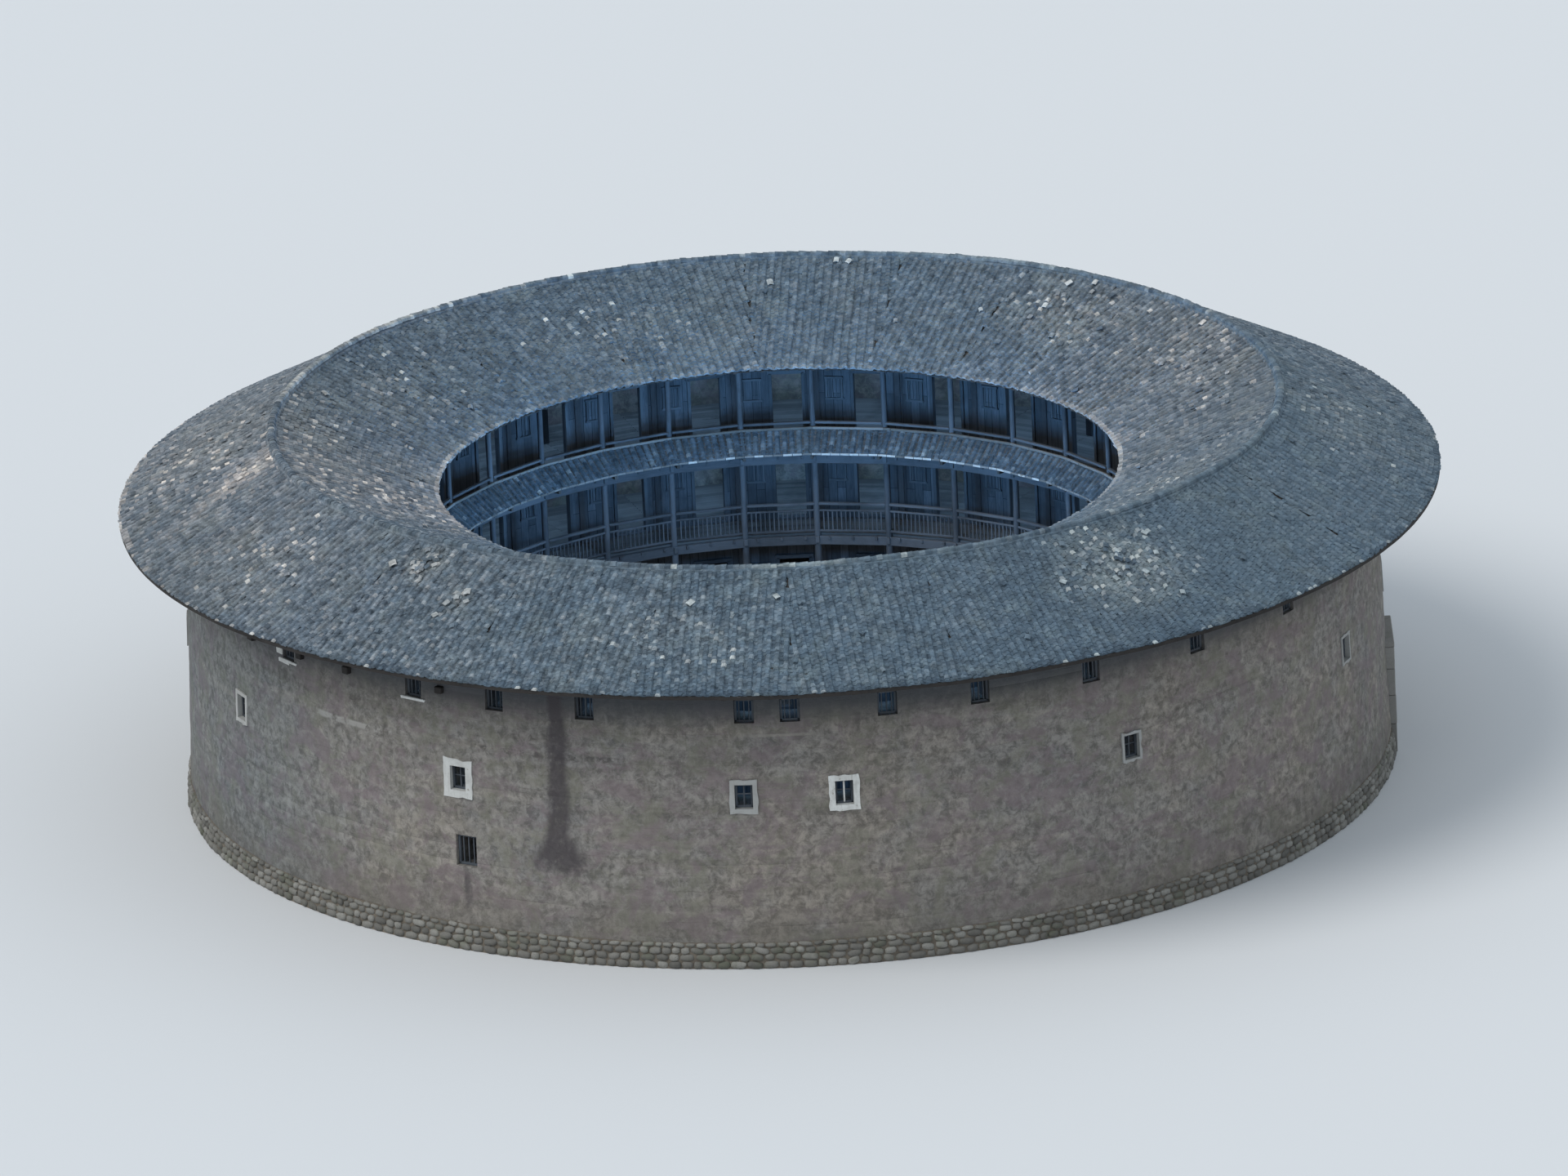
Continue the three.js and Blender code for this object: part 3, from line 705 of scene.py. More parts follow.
def shell(shape, profile, phi0, phi1, steps, tone=0.5, closed_ring=False, warp=None):
    """A closed outline of (radius, height) points swept round the centre."""
    profile = np.asarray(profile, float)
    m = len(profile)
    phi = np.linspace(phi0, phi1, steps + 1)
    if closed_ring:
        phi = phi[:-1]
    v = pol(phi[:, None], profile[None, :, 0], profile[None, :, 1])
    if warp is not None:
        v = warp(v)
    n = len(phi)
    i = np.arange(n if closed_ring else n - 1)
    j = np.arange(m)
    I, J = np.meshgrid(i, j, indexing="ij")
    a = I * m + J
    b = ((I + 1) % n) * m + J
    c = ((I + 1) % n) * m + (J + 1) % m
    d = I * m + (J + 1) % m
    area = 0.5 * np.sum(profile[:, 0] * np.roll(profile[:, 1], -1) - np.roll(profile[:, 0], -1) * profile[:, 1])
    q = np.stack([a, b, c, d], -1).reshape(-1, 4)
    if area > 0:
        q = q[:, ::-1]
    # outline anticlockwise in (r, z) and swept towards +phi: (sweep) x (outline) points inward, so it is turned
    tris = []
    if not closed_ring:
        from mathutils.geometry import tessellate_polygon

        flat = [Vector((p[0], p[1], 0)) for p in profile]
        for tri in tessellate_polygon([flat]):
            x, y, z = (profile[k] for k in tri)
            s = (y[0] - x[0]) * (z[1] - x[1]) - (z[0] - x[0]) * (y[1] - x[1])
            tri = tuple(tri) if s > 0 else tuple(reversed(tri))
            tris.append(tri)  # faces -phi
            tris.append(tuple(k + (n - 1) * m for k in reversed(tri)))
        if area > 0:
            pass
    shape.add(v.reshape(-1, 3), q, tris if tris else None, tone)


def _ico():
    g = (1 + 5**0.5) / 2
    v = [(-1, g, 0), (1, g, 0), (-1, -g, 0), (1, -g, 0), (0, -1, g), (0, 1, g), (0, -1, -g), (0, 1, -g), (g, 0, -1), (g, 0, 1), (-g, 0, -1), (-g, 0, 1)]
    v = [np.array(p, float) / np.linalg.norm(p) for p in v]
    f = [(0, 11, 5), (0, 5, 1), (0, 1, 7), (0, 7, 10), (0, 10, 11), (1, 5, 9), (5, 11, 4), (11, 10, 2), (10, 7, 6), (7, 1, 8), (3, 9, 4), (3, 4, 2), (3, 2, 6), (3, 6, 8), (3, 8, 9), (4, 9, 5), (2, 4, 11), (6, 2, 10), (8, 6, 7), (9, 8, 1)]
    mid, out = {}, []

    def half(a, b):
        k = (min(a, b), max(a, b))
        if k not in mid:
            p = v[a] + v[b]
            v.append(p / np.linalg.norm(p))
            mid[k] = len(v) - 1
        return mid[k]

    for a, b, c in f:
        ab, bc, ca = half(a, b), half(b, c), half(c, a)
        out += [(a, ab, ca), (b, bc, ab), (c, ca, bc), (ab, bc, ca)]
    return np.array(v), np.array(out)


ICO_V, ICO_F = _ico()


def stones(shape, phi, r, z, hx, hr, hz, power=0.75):
    """Rounded stones set in a round wall."""
    X, Y, Z = axes_at(phi)
    n = len(phi)
    v = np.sign(ICO_V) * np.abs(ICO_V) ** power
    local = v[None] * np.stack([hx, hr, hz], -1)[:, None]
    local = local * (1 + rng.normal(0, 0.05, (n, len(v), 1)))
    roll = rng.normal(0, 0.12, n)[:, None]
    lx = local[..., 0] * np.cos(roll) - local[..., 2] * np.sin(roll)
    lz = local[..., 0] * np.sin(roll) + local[..., 2] * np.cos(roll)
    p = pol(phi, r, z)[:, None] + lx[..., None] * X[:, None] + local[..., 1:2] * Y[:, None] + lz[..., None] * Z[:, None]
    p[..., 2] = np.maximum(p[..., 2], 0.002)
    f = (ICO_F[None] + (np.arange(n) * len(v))[:, None, None]).reshape(-1, 3)
    shape.add(p.reshape(-1, 3), None, f, np.repeat(rng.random(n), len(v)))


# ------------------------------------------------------------------ earth wall
Z_EDGES = sorted({round(w["z"] + s * w["h"] / 2, 4) for w in (TOP, MID, VENT) for s in (-1, 1)} | {3.101})


def wall_levels(z_low):
    lines = []
    z = PLINTH_TOP + 0.42
    while z < LEDGE - 0.1:
        lines += [z - 0.022, z, z + 0.022]
        lines.append(z + 0.21)
        z += 0.42
    lines = [k for k in lines if all(abs(k - e) > 0.03 for e in Z_EDGES)]
    lines = sorted(set(round(k, 4) for k in lines) | set(Z_EDGES) | {PLINTH_TOP, LEDGE, 0.9})
    return np.array([k for k in lines if k >= z_low - 1e-6])


LIFTS = np.array([PLINTH_TOP + 0.42 * k for k in range(1, 17)])


def worn(phi, z, r):
    """How far the outer face lies behind its smooth line: lifts, erosion and hollows."""
    phi = (phi + 180) % 360 - 180
    p = pol(phi, 16.0, z)
    broad = (fbm(p * 0.35 + 50, 3, 3) - 0.5) * 0.06
    fine = (fbm(p * 1.7 + 90, 11, 3) - 0.5) * 0.03
    d = np.min(np.abs(z[..., None] - LIFTS), -1)
    groove = np.clip(1 - d / 0.022, 0, 1) * 0.014 * np.clip(noise(p * np.array([0.35, 0.35, 3]) + 30, 31) * 2 - 0.8, 0, 1)
    lift = np.floor((z - PLINTH_TOP) / 0.42)
    row = np.floor(np.radians(phi) * 16 / 1.9 + 0.5 * (lift % 2))
    step = (lattice(row.astype(np.int64), lift.astype(np.int64), np.zeros_like(lift).astype(np.int64), 5) - 0.5) * 0.007
    return np.clip(0.032 + broad + fine + groove + step, 0.002, 0.09)


def wall_piece(name, a0, a1, windows, z_low=PLINTH_TOP, replaces=()):
    """A stretch of the wall with real window holes. windows: (angle, half width, z0, z1)"""
    windows = [(c + s, hw, z0, z1) for c, hw, z0, z1 in windows for s in (-360, 0, 360) if a0 < c + s < a1]
    zs = wall_levels(z_low)
    marks_out, marks_in = {a0: a0, a1: a1}, None
    pairs = [(a0, a0), (a1, a1)]
    for c, hw, z0, z1 in windows:
        ro = wall_out((z0 + z1) / 2) - 0.03
        for s in (-1, 1):
            pairs.append((c + s * math.degrees(math.asin(hw / ro)), c + s * math.degrees(math.asin(hw / WALL_IN))))
    pairs.sort()
    po, pi = np.array([p[0] for p in pairs]), np.array([p[1] for p in pairs])
    step = math.degrees(0.27 / 16)
    extra = np.arange(a0 + step, a1 - step / 2, step)
    extra = extra[np.min(np.abs(extra[:, None] - po[None]), 1) > step * 0.35]
    outer = np.sort(np.concatenate([po, extra]))
    inner = np.interp(outer, po, pi)
    # lines of the cross-section: outer face upwards, over the top, inner face downwards
    nz = len(zs)
    R = np.tile(wall_out(zs), (len(outer), 1))
    P = np.tile(outer[:, None], (1, nz))
    Z = np.tile(zs, (len(outer), 1))
    d = worn(P, Z, R)
    keep = np.ones_like(d)
    keep[:, -1] = 0.3
    face = pol(P, R - d * keep, Z)
    back = pol(inner[:, None], np.full((1, nz), WALL_IN) + 0.0, zs[None])
    ledge = pol(outer, LEDGE_R, LEDGE)[:, None]
    top_o = pol(outer, LEDGE_R, WALL_TOP)[:, None]
    top_i = pol(inner, WALL_IN, WALL_TOP)[:, None]
    line = np.concatenate([face, ledge, top_o, top_i, back[:, ::-1]], 1)
    m = line.shape[1]
    n = len(outer)
    hole = np.zeros((n - 1, nz - 1), bool)
    mo, mz = (outer[1:] + outer[:-1]) / 2, (zs[1:] + zs[:-1]) / 2
    for c, hw, z0, z1 in windows:
        ro = wall_out((z0 + z1) / 2) - 0.03
        e = math.degrees(math.asin(hw / ro))
        hole |= (np.abs(mo - c) < e)[:, None] & ((mz > z0) & (mz < z1))[None]
    q = []
    I, J = np.meshgrid(np.arange(n - 1), np.arange(m), indexing="ij")
    cell = np.stack([I * m + J, (I + 1) * m + J, (I + 1) * m + (J + 1) % m, I * m + (J + 1) % m], -1)
    ok = np.ones((n - 1, m), bool)
    ok[:, : nz - 1] &= ~hole
    back_hole = hole[:, ::-1]
    s = nz + 3
    ok[:, s : s + nz - 1] &= ~back_hole
    q.append(cell[ok])
    # sides of the holes
    pad = np.pad(hole, 1)

    def fo(i, j):
        return i * m + j

    def fi(i, j):
        return i * m + (m - 1 - j)

    for i in range(n - 1):
        for j in np.nonzero(hole[i])[0]:
            if not pad[i, j + 1]:
                q.append([[fo(i, j), fi(i, j), fi(i, j + 1), fo(i, j + 1)]])
            if not pad[i + 2, j + 1]:
                q.append([[fo(i + 1, j + 1), fi(i + 1, j + 1), fi(i + 1, j), fo(i + 1, j)]])
            if not pad[i + 1, j]:
                q.append([[fo(i + 1, j), fi(i + 1, j), fi(i, j), fo(i, j)]])
            if not pad[i + 1, j + 2]:
                q.append([[fo(i, j + 1), fi(i, j + 1), fi(i + 1, j + 1), fo(i + 1, j + 1)]])
    # ends
    for i, flip in ((0, True), (n - 1, False)):
        strip = [[fo(i, j), fo(i, j + 1), fi(i, j + 1), fi(i, j)] for j in range(nz - 1)]
        strip.append([fo(i, nz - 1), i * m + nz, i * m + nz + 2, fi(i, nz - 1)])
        strip = np.array(strip)
        tri = np.array([[i * m + nz, i * m + nz + 1, i * m + nz + 2]])
        if not flip:
            strip, tri = strip[:, ::-1], tri[:, ::-1]
        q.append(strip)
        tris = tri if i == 0 else np.concatenate([tris, tri])
    sh = Shape()
    sh.add(line.reshape(-1, 3), np.concatenate([np.asarray(k).reshape(-1, 4) for k in q]), tris, rng.random())
    return sh.make(name, EARTH, "rammed_earth", replaces, smooth=40)


WINDOWS = [(c, k["w"] / 2, k["z"] - k["h"] / 2, k["z"] + k["h"] / 2) for k, at in ((TOP, TOP_AT), (MID, MID_AT), (VENT, VENT_AT)) for c in at]
for i in range(12):
    wall_piece(f"earth_wall_{i + 1}", WALL_CUTS[i], WALL_CUTS[i + 1], WINDOWS, replaces=(f"outer_wall_{i + 1}",))
wall_piece("earth_wall_over_gate", 86, 94, WINDOWS, z_low=3.101, replaces=("wall_over_gate",))

# ------------------------------------------------------------------ stone plinth
for side, p0, p1 in (("back", 94.0, 270.0), ("front", 270.0, 446.0)):
    core = Shape()
    shell(core, [(WALL_IN, 0.0), (16.09, 0.0), (16.04, 0.699), (WALL_IN, 0.699)], p0, p1, 88)
    core.make(f"plinth_mortar_{side}", MORTAR, "river_stone", (f"plinth_{side}",))
    sh = Shape()
    for row, (z, h) in enumerate(((0.105, 0.105), (0.30, 0.10), (0.485, 0.095), (0.635, 0.062))):
        phi, wid = [], []
        x = p0 + 0.1
        while x < p1 - 0.9:
            w = rng.uniform(0.75, 1.55) * (1.0 if row < 3 else 0.9)
            phi.append(x + w / 2)
            wid.append(w)
            x += w + 0.03
        phi, wid = np.array(phi), np.array(wid)
        hx = np.radians(wid) * 16.1 / 2
        n = len(phi)
        depth = rng.uniform(0.075, 0.10, n)
        outer_r = PLINTH_OUT - 0.06 * z / 0.7 - rng.uniform(0.004, 0.035, n)
        stones(sh, phi, outer_r - depth, np.full(n, z) + rng.normal(0, 0.008, n) * (row > 0), hx, depth, np.full(n, h) * rng.uniform(0.93, 1.0, n))
    sh.make(f"plinth_stones_{side}", RIVER, "river_stone", smooth=50)

# ------------------------------------------------------------------ tile roofs
SEAMS = [-45, -29, -13.5, 0.5, 15, 29.8, 45, 61, 78, 95, 113, 135, 148.5, 164, 183, 204, 225, 241, 257, 271, 286, 301, 315]
PITCH, STEP = 0.228, 0.138


def near(phi, centre, half):
    """1 at an angle, falling smoothly to 0 at half degrees away"""
    d = np.clip(1 - np.abs((phi - centre + 180) % 360 - 180) / half, 0, 1)
    return d * d * (3 - 2 * d)


def warm_at(phi, inner):
    """Weathering and painted light: the outer left side, which faces the light, is the palest and brownest, the right
    side of the yard slope, which faces it too, after it.
    """
    if inner:
        return 0.19 + 0.56 * near(phi, 106, 62) + 0.40 * near(phi, -92, 44) + 0.46 * near(phi, -73, 32)
    return 0.02 + 0.90 * near(phi, -97, 108) + 0.30 * near(phi, 125, 60)


def patch_at(phi, r, inner):
    """Where tiles were disturbed or relaid: 0 to 1."""
    phi = (phi + 180) % 360 - 180
    out = np.zeros(np.broadcast(phi, r).shape)
    spots = (
        [(138, 11.9, 10, 1.1, 0.5), (112, 12.0, 15, 1.3, 0.35), (-118, 11.5, 12, 1.3, 0.35), (-97, 12.4, 10, 0.9, 0.5), (-160, 11.0, 15, 1.2, 0.25), (60, 11.5, 12, 1.2, 0.4), (-30, 11, 14, 1.3, 0.4)]
        if inner
        else [(36, 15.0, 7.5, 1.4, 0.9), (-41.0, 14.2, 2.3, 0.6, 1.0), (-34.5, 15.1, 1.6, 0.5, 0.6), (-95, 15.2, 9.0, 1.6, 0.4), (88, 15.0, 9, 1.4, 0.3), (-12, 15.6, 9, 1.1, 0.35), (150, 15.2, 14, 1.5, 0.6), (-140, 15.6, 11, 1.4, 0.6), (-60, 15.6, 9, 1.4, 0.35)]
    )
    for c, rc, wa, wr, s in spots:
        d = np.sqrt((((phi - c + 180) % 360 - 180) / wa) ** 2 + ((r - rc) / wr) ** 2)
        out = np.maximum(out, s * np.clip(1.35 - d, 0, 1))
    return out


def streak_at(phi, r):
    """The pale strip of relaid tiles that runs down the left side, brightest near the ridge."""
    phi = (phi + 180) % 360 - 180
    off = np.abs(phi + 82.3 - 1.5 * (r - 13.4) + 0.5 * np.sin(r * 2.3)) * np.pi / 180 * r
    half = np.interp(r, [13.2, 14.4, 15.2, 17.2], [0.75, 0.72, 0.34, 0.34])
    return np.clip(1.5 - off / half, 0, 1) * np.interp(r, [13.3, 13.5, 14.8, 15.4, 16.6, 17.2], [0.5, 0.9, 0.9, 0.60, 0.40, 0.0])


def calm_at(phi, inner):
    """How much the tiles differ from one another: the right side is the most even."""
    if inner:
        return 0.70 * (1 - 0.34 * near(phi, 185, 62))
    return 0.82 * (1 - 0.58 * near(phi, 50, 82)) * (1 - 0.34 * near(phi, -62, 24))


def shade_at(phi, inner):
    """Broad lighter and darker stretches of the tiles."""
    if inner:
        return 1 - 0.14 * near(phi, 218, 34) - 0.34 * near(phi, -116, 26) + 0.46 * near(phi, -73, 27)
    return 1 - 0.34 * near(phi, 31, 32) - 0.08 * near(phi, -5, 30)


def sag(p, r):
    """Gentle waves of the whole roof, in metres down."""
    q = np.stack([p[..., 0] * 0.42, p[..., 1] * 0.42, np.zeros(p.shape[:-1])], -1)
    fineq = np.stack([p[..., 0] * 1.6, p[..., 1] * 1.6, np.zeros(p.shape[:-1])], -1)
    return 0.004 + 0.032 * noise(q, 41) + 0.010 * noise(fineq, 43)


def tile_side(shapes, inner):
    height = roof_in if inner else roof_out
    rise = (RIDGE_Z - EAVE_IN_Z) / (RIDGE_R - EAVE_IN_R) if inner else (RIDGE_Z - EAVE_OUT_Z) / (EAVE_OUT_R - RIDGE_R)
    flat_step = STEP / math.sqrt(1 + rise * rise)
    cover = np.array([(-0.074, -0.058), (-0.041, -0.020), (0.041, -0.020), (0.074, -0.058)])
    pan = np.array([(-0.108, -0.048), (0.0, -0.070), (0.108, -0.048)])
    for a0, a1 in zip(SEAMS[:-1], SEAMS[1:]):
        mid, half = (a0 + a1) / 2, (a1 - a0) / 2
        quad = int(((mid + 45) % 360) // 90)
        sh = shapes[quad]
        th = math.radians(mid)
        er, et = np.array([math.sin(th), -math.cos(th)]), np.array([math.cos(th), math.sin(th)])
        slope_limit = math.tan(math.radians(half))
        reach = EAVE_OUT_R * math.sin(math.radians(half)) if not inner else RIDGE_R * math.sin(math.radians(half))
        count = int(reach / PITCH)
        shift = rng.uniform(-0.5, 0.5)
        for k in range(-count - 1, count + 2):
            for kind, prof, off in (("pan", pan, 0.5), ("cover", cover, 0.0)):
                u = (k + shift + off) * PITCH
                if inner:
                    s0 = math.sqrt(max((RIDGE_R - 0.05) ** 2 - u * u, 0))
                    edge = abs(u) / slope_limit if u else 0
                    s1 = max(math.sqrt(max((EAVE_IN_R + 0.02 + rng.uniform(0, 0.035)) ** 2 - u * u, 0)), edge)
                    if s0 - s1 < 0.12:
                        continue
                    n = int(math.ceil((s0 - s1) / flat_step))
                    s = s0 - np.minimum(np.arange(n + 1) * flat_step, s0 - s1)
                else:
                    s0 = max(math.sqrt((RIDGE_R + 0.05) ** 2 - u * u), abs(u) / slope_limit)
                    s1 = math.sqrt((EAVE_OUT_R - 0.012 - rng.uniform(0, 0.035) - (0.02 if kind == "pan" else 0)) ** 2 - u * u)
                    if s1 - s0 < 0.12:
                        continue
                    n = int(math.ceil((s1 - s0) / flat_step))
                    s = s0 + np.minimum(np.arange(n + 1) * flat_step, s1 - s0)
                rm = np.hypot((s[1:] + s[:-1]) / 2, u)
                pm = mid + np.degrees(np.arctan2(u, (s[1:] + s[:-1]) / 2))
                loose = patch_at(pm, rm, inner)
                light = streak_at(pm, rm) if not inner else 0 * rm
                mess = 1 + 1.8 * loose + 0.3 * light
                calm = calm_at(pm, inner)
                row_drift = 0.034 * (noise(np.stack([s * 0.8, np.full(n + 1, u * 3 + mid), np.zeros(n + 1)], -1), 51) - 0.5)
                row_drift = row_drift + 0.11 * (noise(np.stack([s * 0.45, np.full(n + 1, u * 0.5 + mid), np.ones(n + 1)], -1), 53) - 0.5)
                du = rng.normal(0, 0.0085, (n, 2)) * mess[:, None]
                dz = np.clip(rng.normal(-0.002, 0.006, n) * mess * calm, -0.02, 0.008)
                lean = rng.normal(0, 0.085, n) * mess**0.5 * calm
                line_s = np.empty(2 * n + 1)
                line_s[0:-1:2], line_s[1::2], line_s[-1] = s[:-1], s[1:], s[-1]
                line_u = np.empty(2 * n + 1)
                line_u[0:-1:2], line_u[1::2] = du[:, 0] + row_drift[:-1], du[:, 1] + row_drift[1:]
                line_u[-1] = line_u[-2]
                line_z = np.empty(2 * n + 1)
                line_z[0:-1:2], line_z[1::2] = dz - 0.015 + rng.normal(0, 0.006, n), dz
                line_z[-1] = dz[-1]
                tilt = np.empty(2 * n + 1)
                tilt[0:-1:2], tilt[1::2], tilt[-1] = lean, lean, lean[-1]
                S = np.broadcast_to(line_s[:, None], (2 * n + 1, len(prof)))
                U = u + line_u[:, None] + prof[None, :, 0]
                x = S * er[0] + U * et[0]
                y = S * er[1] + U * et[1]
                z = height(np.hypot(x, y)) + prof[None, :, 1] + line_z[:, None] + tilt[:, None] * prof[None, :, 0]
                z = z - sag(np.stack([x, y], -1), None)
                z[-1] = z[-2] - 0.05 if kind == "cover" else z[-2] - 0.025
                if kind == "cover":
                    z[-1, 0], z[-1, -1] = z[-2, 0] - 0.004, z[-2, -1] - 0.004
                    z[-1, 1:-1] = z[-2, 1:-1] - 0.045
                v = np.stack([x, y, z], -1)
                m = len(prof)
                I, J = np.meshgrid(np.arange(2 * n), np.arange(m - 1), indexing="ij")
                q = np.stack([I * m + J, (I + 1) * m + J, (I + 1) * m + J + 1, I * m + J + 1], -1).reshape(-1, 4)
                if inner:
                    q = q[:, ::-1]
                tone = rng.beta(1.5, 2.1, n) * 0.92
                odd = rng.random(n)
                tone = np.where(odd < 0.012, rng.uniform(0.78, 0.95, n), np.where(odd > 0.94, rng.uniform(0.0, 0.06, n), tone))
                tone = 0.37 + (tone - 0.37) * calm
                tone = tone * shade_at(pm, inner)
                if inner:
                    # the rim of the yard is paler at its left and right ends
                    tone = tone + 0.20 * np.clip(1.15 - (rm - EAVE_IN_R) / 0.75, 0, 1) * np.maximum(near(pm, -93, 60), near(pm, 97, 48))
                speck = rng.random(n)
                tone = np.where(speck < 0.34 * loose, rng.uniform(0.72, 1.0, n), np.where(speck > 1 - 0.30 * loose, rng.uniform(0.0, 0.10, n), tone))
                tone = np.clip(tone * (1 - 0.7 * light) + light * rng.uniform(0.54, 0.92, n), 0, 1)
                # painted shade: the pans, lying in the troughs between the covers, are darker
                if kind == "pan":
                    tone = tone * 0.82
                # the lowest row: mortared and pale round the yard; outside, dark as painted shade under the eave but
                # for some tiles
                last = slice(-2, None) if n > 2 and abs(s[-1] - s[-2]) < 0.5 * flat_step else slice(-1, None)
                if inner:
                    ends_pale = max(float(near(pm[-1], -95, 55)), float(near(pm[-1], 95, 55)))
                    if rng.random() < 0.80 + 0.2 * ends_pale:
                        tone[last] = (rng.uniform(0.55, 0.80) if kind == "cover" else rng.uniform(0.40, 0.70)) * (1 - ends_pale) + ends_pale * rng.uniform(0.78, 0.93)
                elif kind == "cover" and rng.random() < 0.16:
                    tone[-1] = rng.uniform(0.80, 0.97)
                elif rng.random() < float(near(pm[-1], -92, 26)):
                    tone[last] = rng.uniform(0.72, 0.94)
                else:
                    # painted shade: the outer eave row darkened
                    tone[last] *= 0.35
                warm = np.clip(warm_at(pm, inner) + 0.25 * loose + 0.4 * light + rng.normal(0, 0.06, n), 0, 1)
                tl = np.empty(2 * n + 1)
                tl[0:-1:2], tl[1::2], tl[-1] = tone, tone, tone[-1]
                pl = np.empty(2 * n + 1)
                pl[0:-1:2], pl[1::2], pl[-1] = loose, loose, loose[-1]
                wl = np.empty(2 * n + 1)
                wl[0:-1:2], wl[1::2], wl[-1] = warm, warm, warm[-1]
                sh.add(v.reshape(-1, 3), q, None, np.repeat(tl, m), np.repeat(pl, m), np.repeat(wl, m))


outer_shapes = [Shape() for _ in range(4)]
inner_shapes = [Shape() for _ in range(4)]
tile_side(outer_shapes, False)
tile_side(inner_shapes, True)
for k, side in enumerate(SIDES):
    outer_shapes[k].make(f"tiles_outer_{side}", TILE, "roof_tile", (f"outer_roof_{side}",))
    inner_shapes[k].make(f"tiles_inner_{side}", TILE_IN, "roof_tile", (f"inner_roof_{side}",))

# boards under the tiles, and the rafters below them
def boards(name, r_lo, r_hi, height):
    r = np.linspace(r_lo, r_hi, 14)
    outline = [(k, height(k) - 0.127) for k in r] + [(k, height(k) - 0.115) for k in r[::-1]]

    def follow(v):
        v = v.copy()
        v[..., 2] -= sag(v[..., :2], None)
        return v

    sh = Shape()
    shell(sh, outline, 0, 360, 288, closed_ring=True, warp=follow)
    sh.make(name, WOOD_DECK, "planks", smooth=40)


boards("roof_boards_outer", RIDGE_R + 0.02, EAVE_OUT_R - 0.06, roof_out)
boards("roof_boards_inner", EAVE_IN_R + 0.05, RIDGE_R - 0.02, roof_in)


def eave_board(name, r, z0, z1, thick):
    """The board that the lowest tiles stand on; its very dark timber is painted shade under the tile ends"""

    def follow(v):
        v = v.copy()
        v[..., 2] -= sag(v[..., :2], None)
        return v

    sh = Shape()
    shell(sh, [(r - thick, z0), (r, z0), (r, z1), (r - thick, z1)], 0, 360, 288, 0.2, closed_ring=True, warp=follow)
    sh.make(name, TAIL_WOOD, "timber", smooth=40)


eave_board("eave_board_outer", EAVE_OUT_R - 0.050, roof_out(EAVE_OUT_R) - 0.170, roof_out(EAVE_OUT_R) - 0.066, 0.025)

raft = Shape()
n = 256
phi = np.arange(n) * 360 / n + rng.normal(0, 0.08, n)
r1 = EAVE_OUT_R - 0.05 - rng.uniform(0, 0.03, n)
r0 = np.full(n, RIDGE_R + 0.12)
zt = lambda r: roof_out(r) - 0.135
radial_bars(raft, phi, r0, r1, (zt(r0) + zt(r1)) / 2 - 0.052, (zt(r0) + zt(r1)) / 2, 0.10, None, slope=zt(r1) - zt(r0))
raft.make("rafters_outer", WOOD_OUT, "timber")
raft = Shape()
n = 160
phi = np.arange(n) * 360 / n + rng.normal(0, 0.08, n)
r1 = np.full(n, RIDGE_R - 0.12)
r0 = EAVE_IN_R + 0.05 + rng.uniform(0, 0.02, n)
zt = lambda r: roof_in(r) - 0.135
radial_bars(raft, phi, r0, r1, (zt(r0) + zt(r1)) / 2 - 0.052, (zt(r0) + zt(r1)) / 2, 0.09, None, slope=zt(r1) - zt(r0))
raft.make("rafters_inner", WOOD_OUT, "timber")

# ridge: a bed of mortar under a row of cap tiles
ridge = Shape()
n = 520
phi = np.arange(n) * 360 / n
arc = 2 * np.pi * RIDGE_R / n
prof = np.array([(-0.104, -0.092), (-0.080, -0.026), (-0.036, 0.0), (0.036, 0.0), (0.080, -0.026), (0.104, -0.092)])
m = len(prof)
lines_phi = np.empty(2 * n)
lines_phi[0::2], lines_phi[1::2] = phi, phi + 360 / n * 0.999
dz = np.repeat(rng.normal(0, 0.006, n), 2)
dz[0::2] -= 0.012
dr = np.repeat(rng.normal(0, 0.006, n), 2)
wave = 0.026 * (noise(np.stack([np.sin(np.radians(lines_phi)) * 5, np.cos(np.radians(lines_phi)) * 5, lines_phi * 0], -1), 61) - 1.0)
# the caps still stand high on the far left, elsewhere they have sunk into their bed
stand = 0.018 + 0.040 * np.maximum(near(lines_phi, -120, 26), 0.8 * near(lines_phi, 152, 22))
v = pol(lines_phi[:, None], RIDGE_R + dr[:, None] + prof[None, :, 0], np.minimum(RIDGE_Z + stand[:, None] + dz[:, None] + wave[:, None], RIDGE_Z + 0.086) + prof[None, :, 1])
I, J = np.meshgrid(np.arange(2 * n), np.arange(m), indexing="ij")
q = np.stack([I * m + J, ((I + 1) % (2 * n)) * m + J, ((I + 1) % (2 * n)) * m + (J + 1) % m, I * m + (J + 1) % m], -1).reshape(-1, 4)[:, ::-1]
tone = np.repeat(np.clip(rng.beta(2.2, 2.6, n) * 0.8 + (rng.random(n) < 0.05) * 0.4, 0, 1), 2 * m)
turn = (lines_phi + 180) % 360 - 180
ragged = 0.6 * noise(np.stack([lines_phi * 0.7, lines_phi * 0, lines_phi * 0], -1), 63) + 0.4
patchy = np.zeros_like(turn)
for p0_, p1_, s_ in ((-138, -99, 1.0), (-5.5, 8.5, 1.0), (140, 168, 0.6), (66, 82, 0.4)):
    patchy = np.maximum(patchy, s_ * np.clip(np.minimum(turn - p0_, p1_ - turn) / 3.0, 0, 1))
pale = np.clip(np.minimum(turn + 139, -99 - turn) / 3.0, 0, 1) * 0.42 + np.clip(np.minimum(turn + 5.5, 8.5 - turn) / 2.0, 0, 1) * 0.38
tone = np.clip(tone + np.repeat(pale, m), 0, 1)
ridge.add(v.reshape(-1, 3), q[:, ::-1], None, tone, np.repeat(np.clip(patchy * ragged * 1.5, 0, 1), m), np.repeat(warm_at(turn, False) * 0.6, m))
ridge.make("ridge_cap_tiles", RIDGE_TILE, "ridge_mortar", ("ridge_tiles",))
bed = Shape()


def sunk(v):
    v = v.copy()
    v[..., 2] -= sag(v[..., :2], None)
    return v


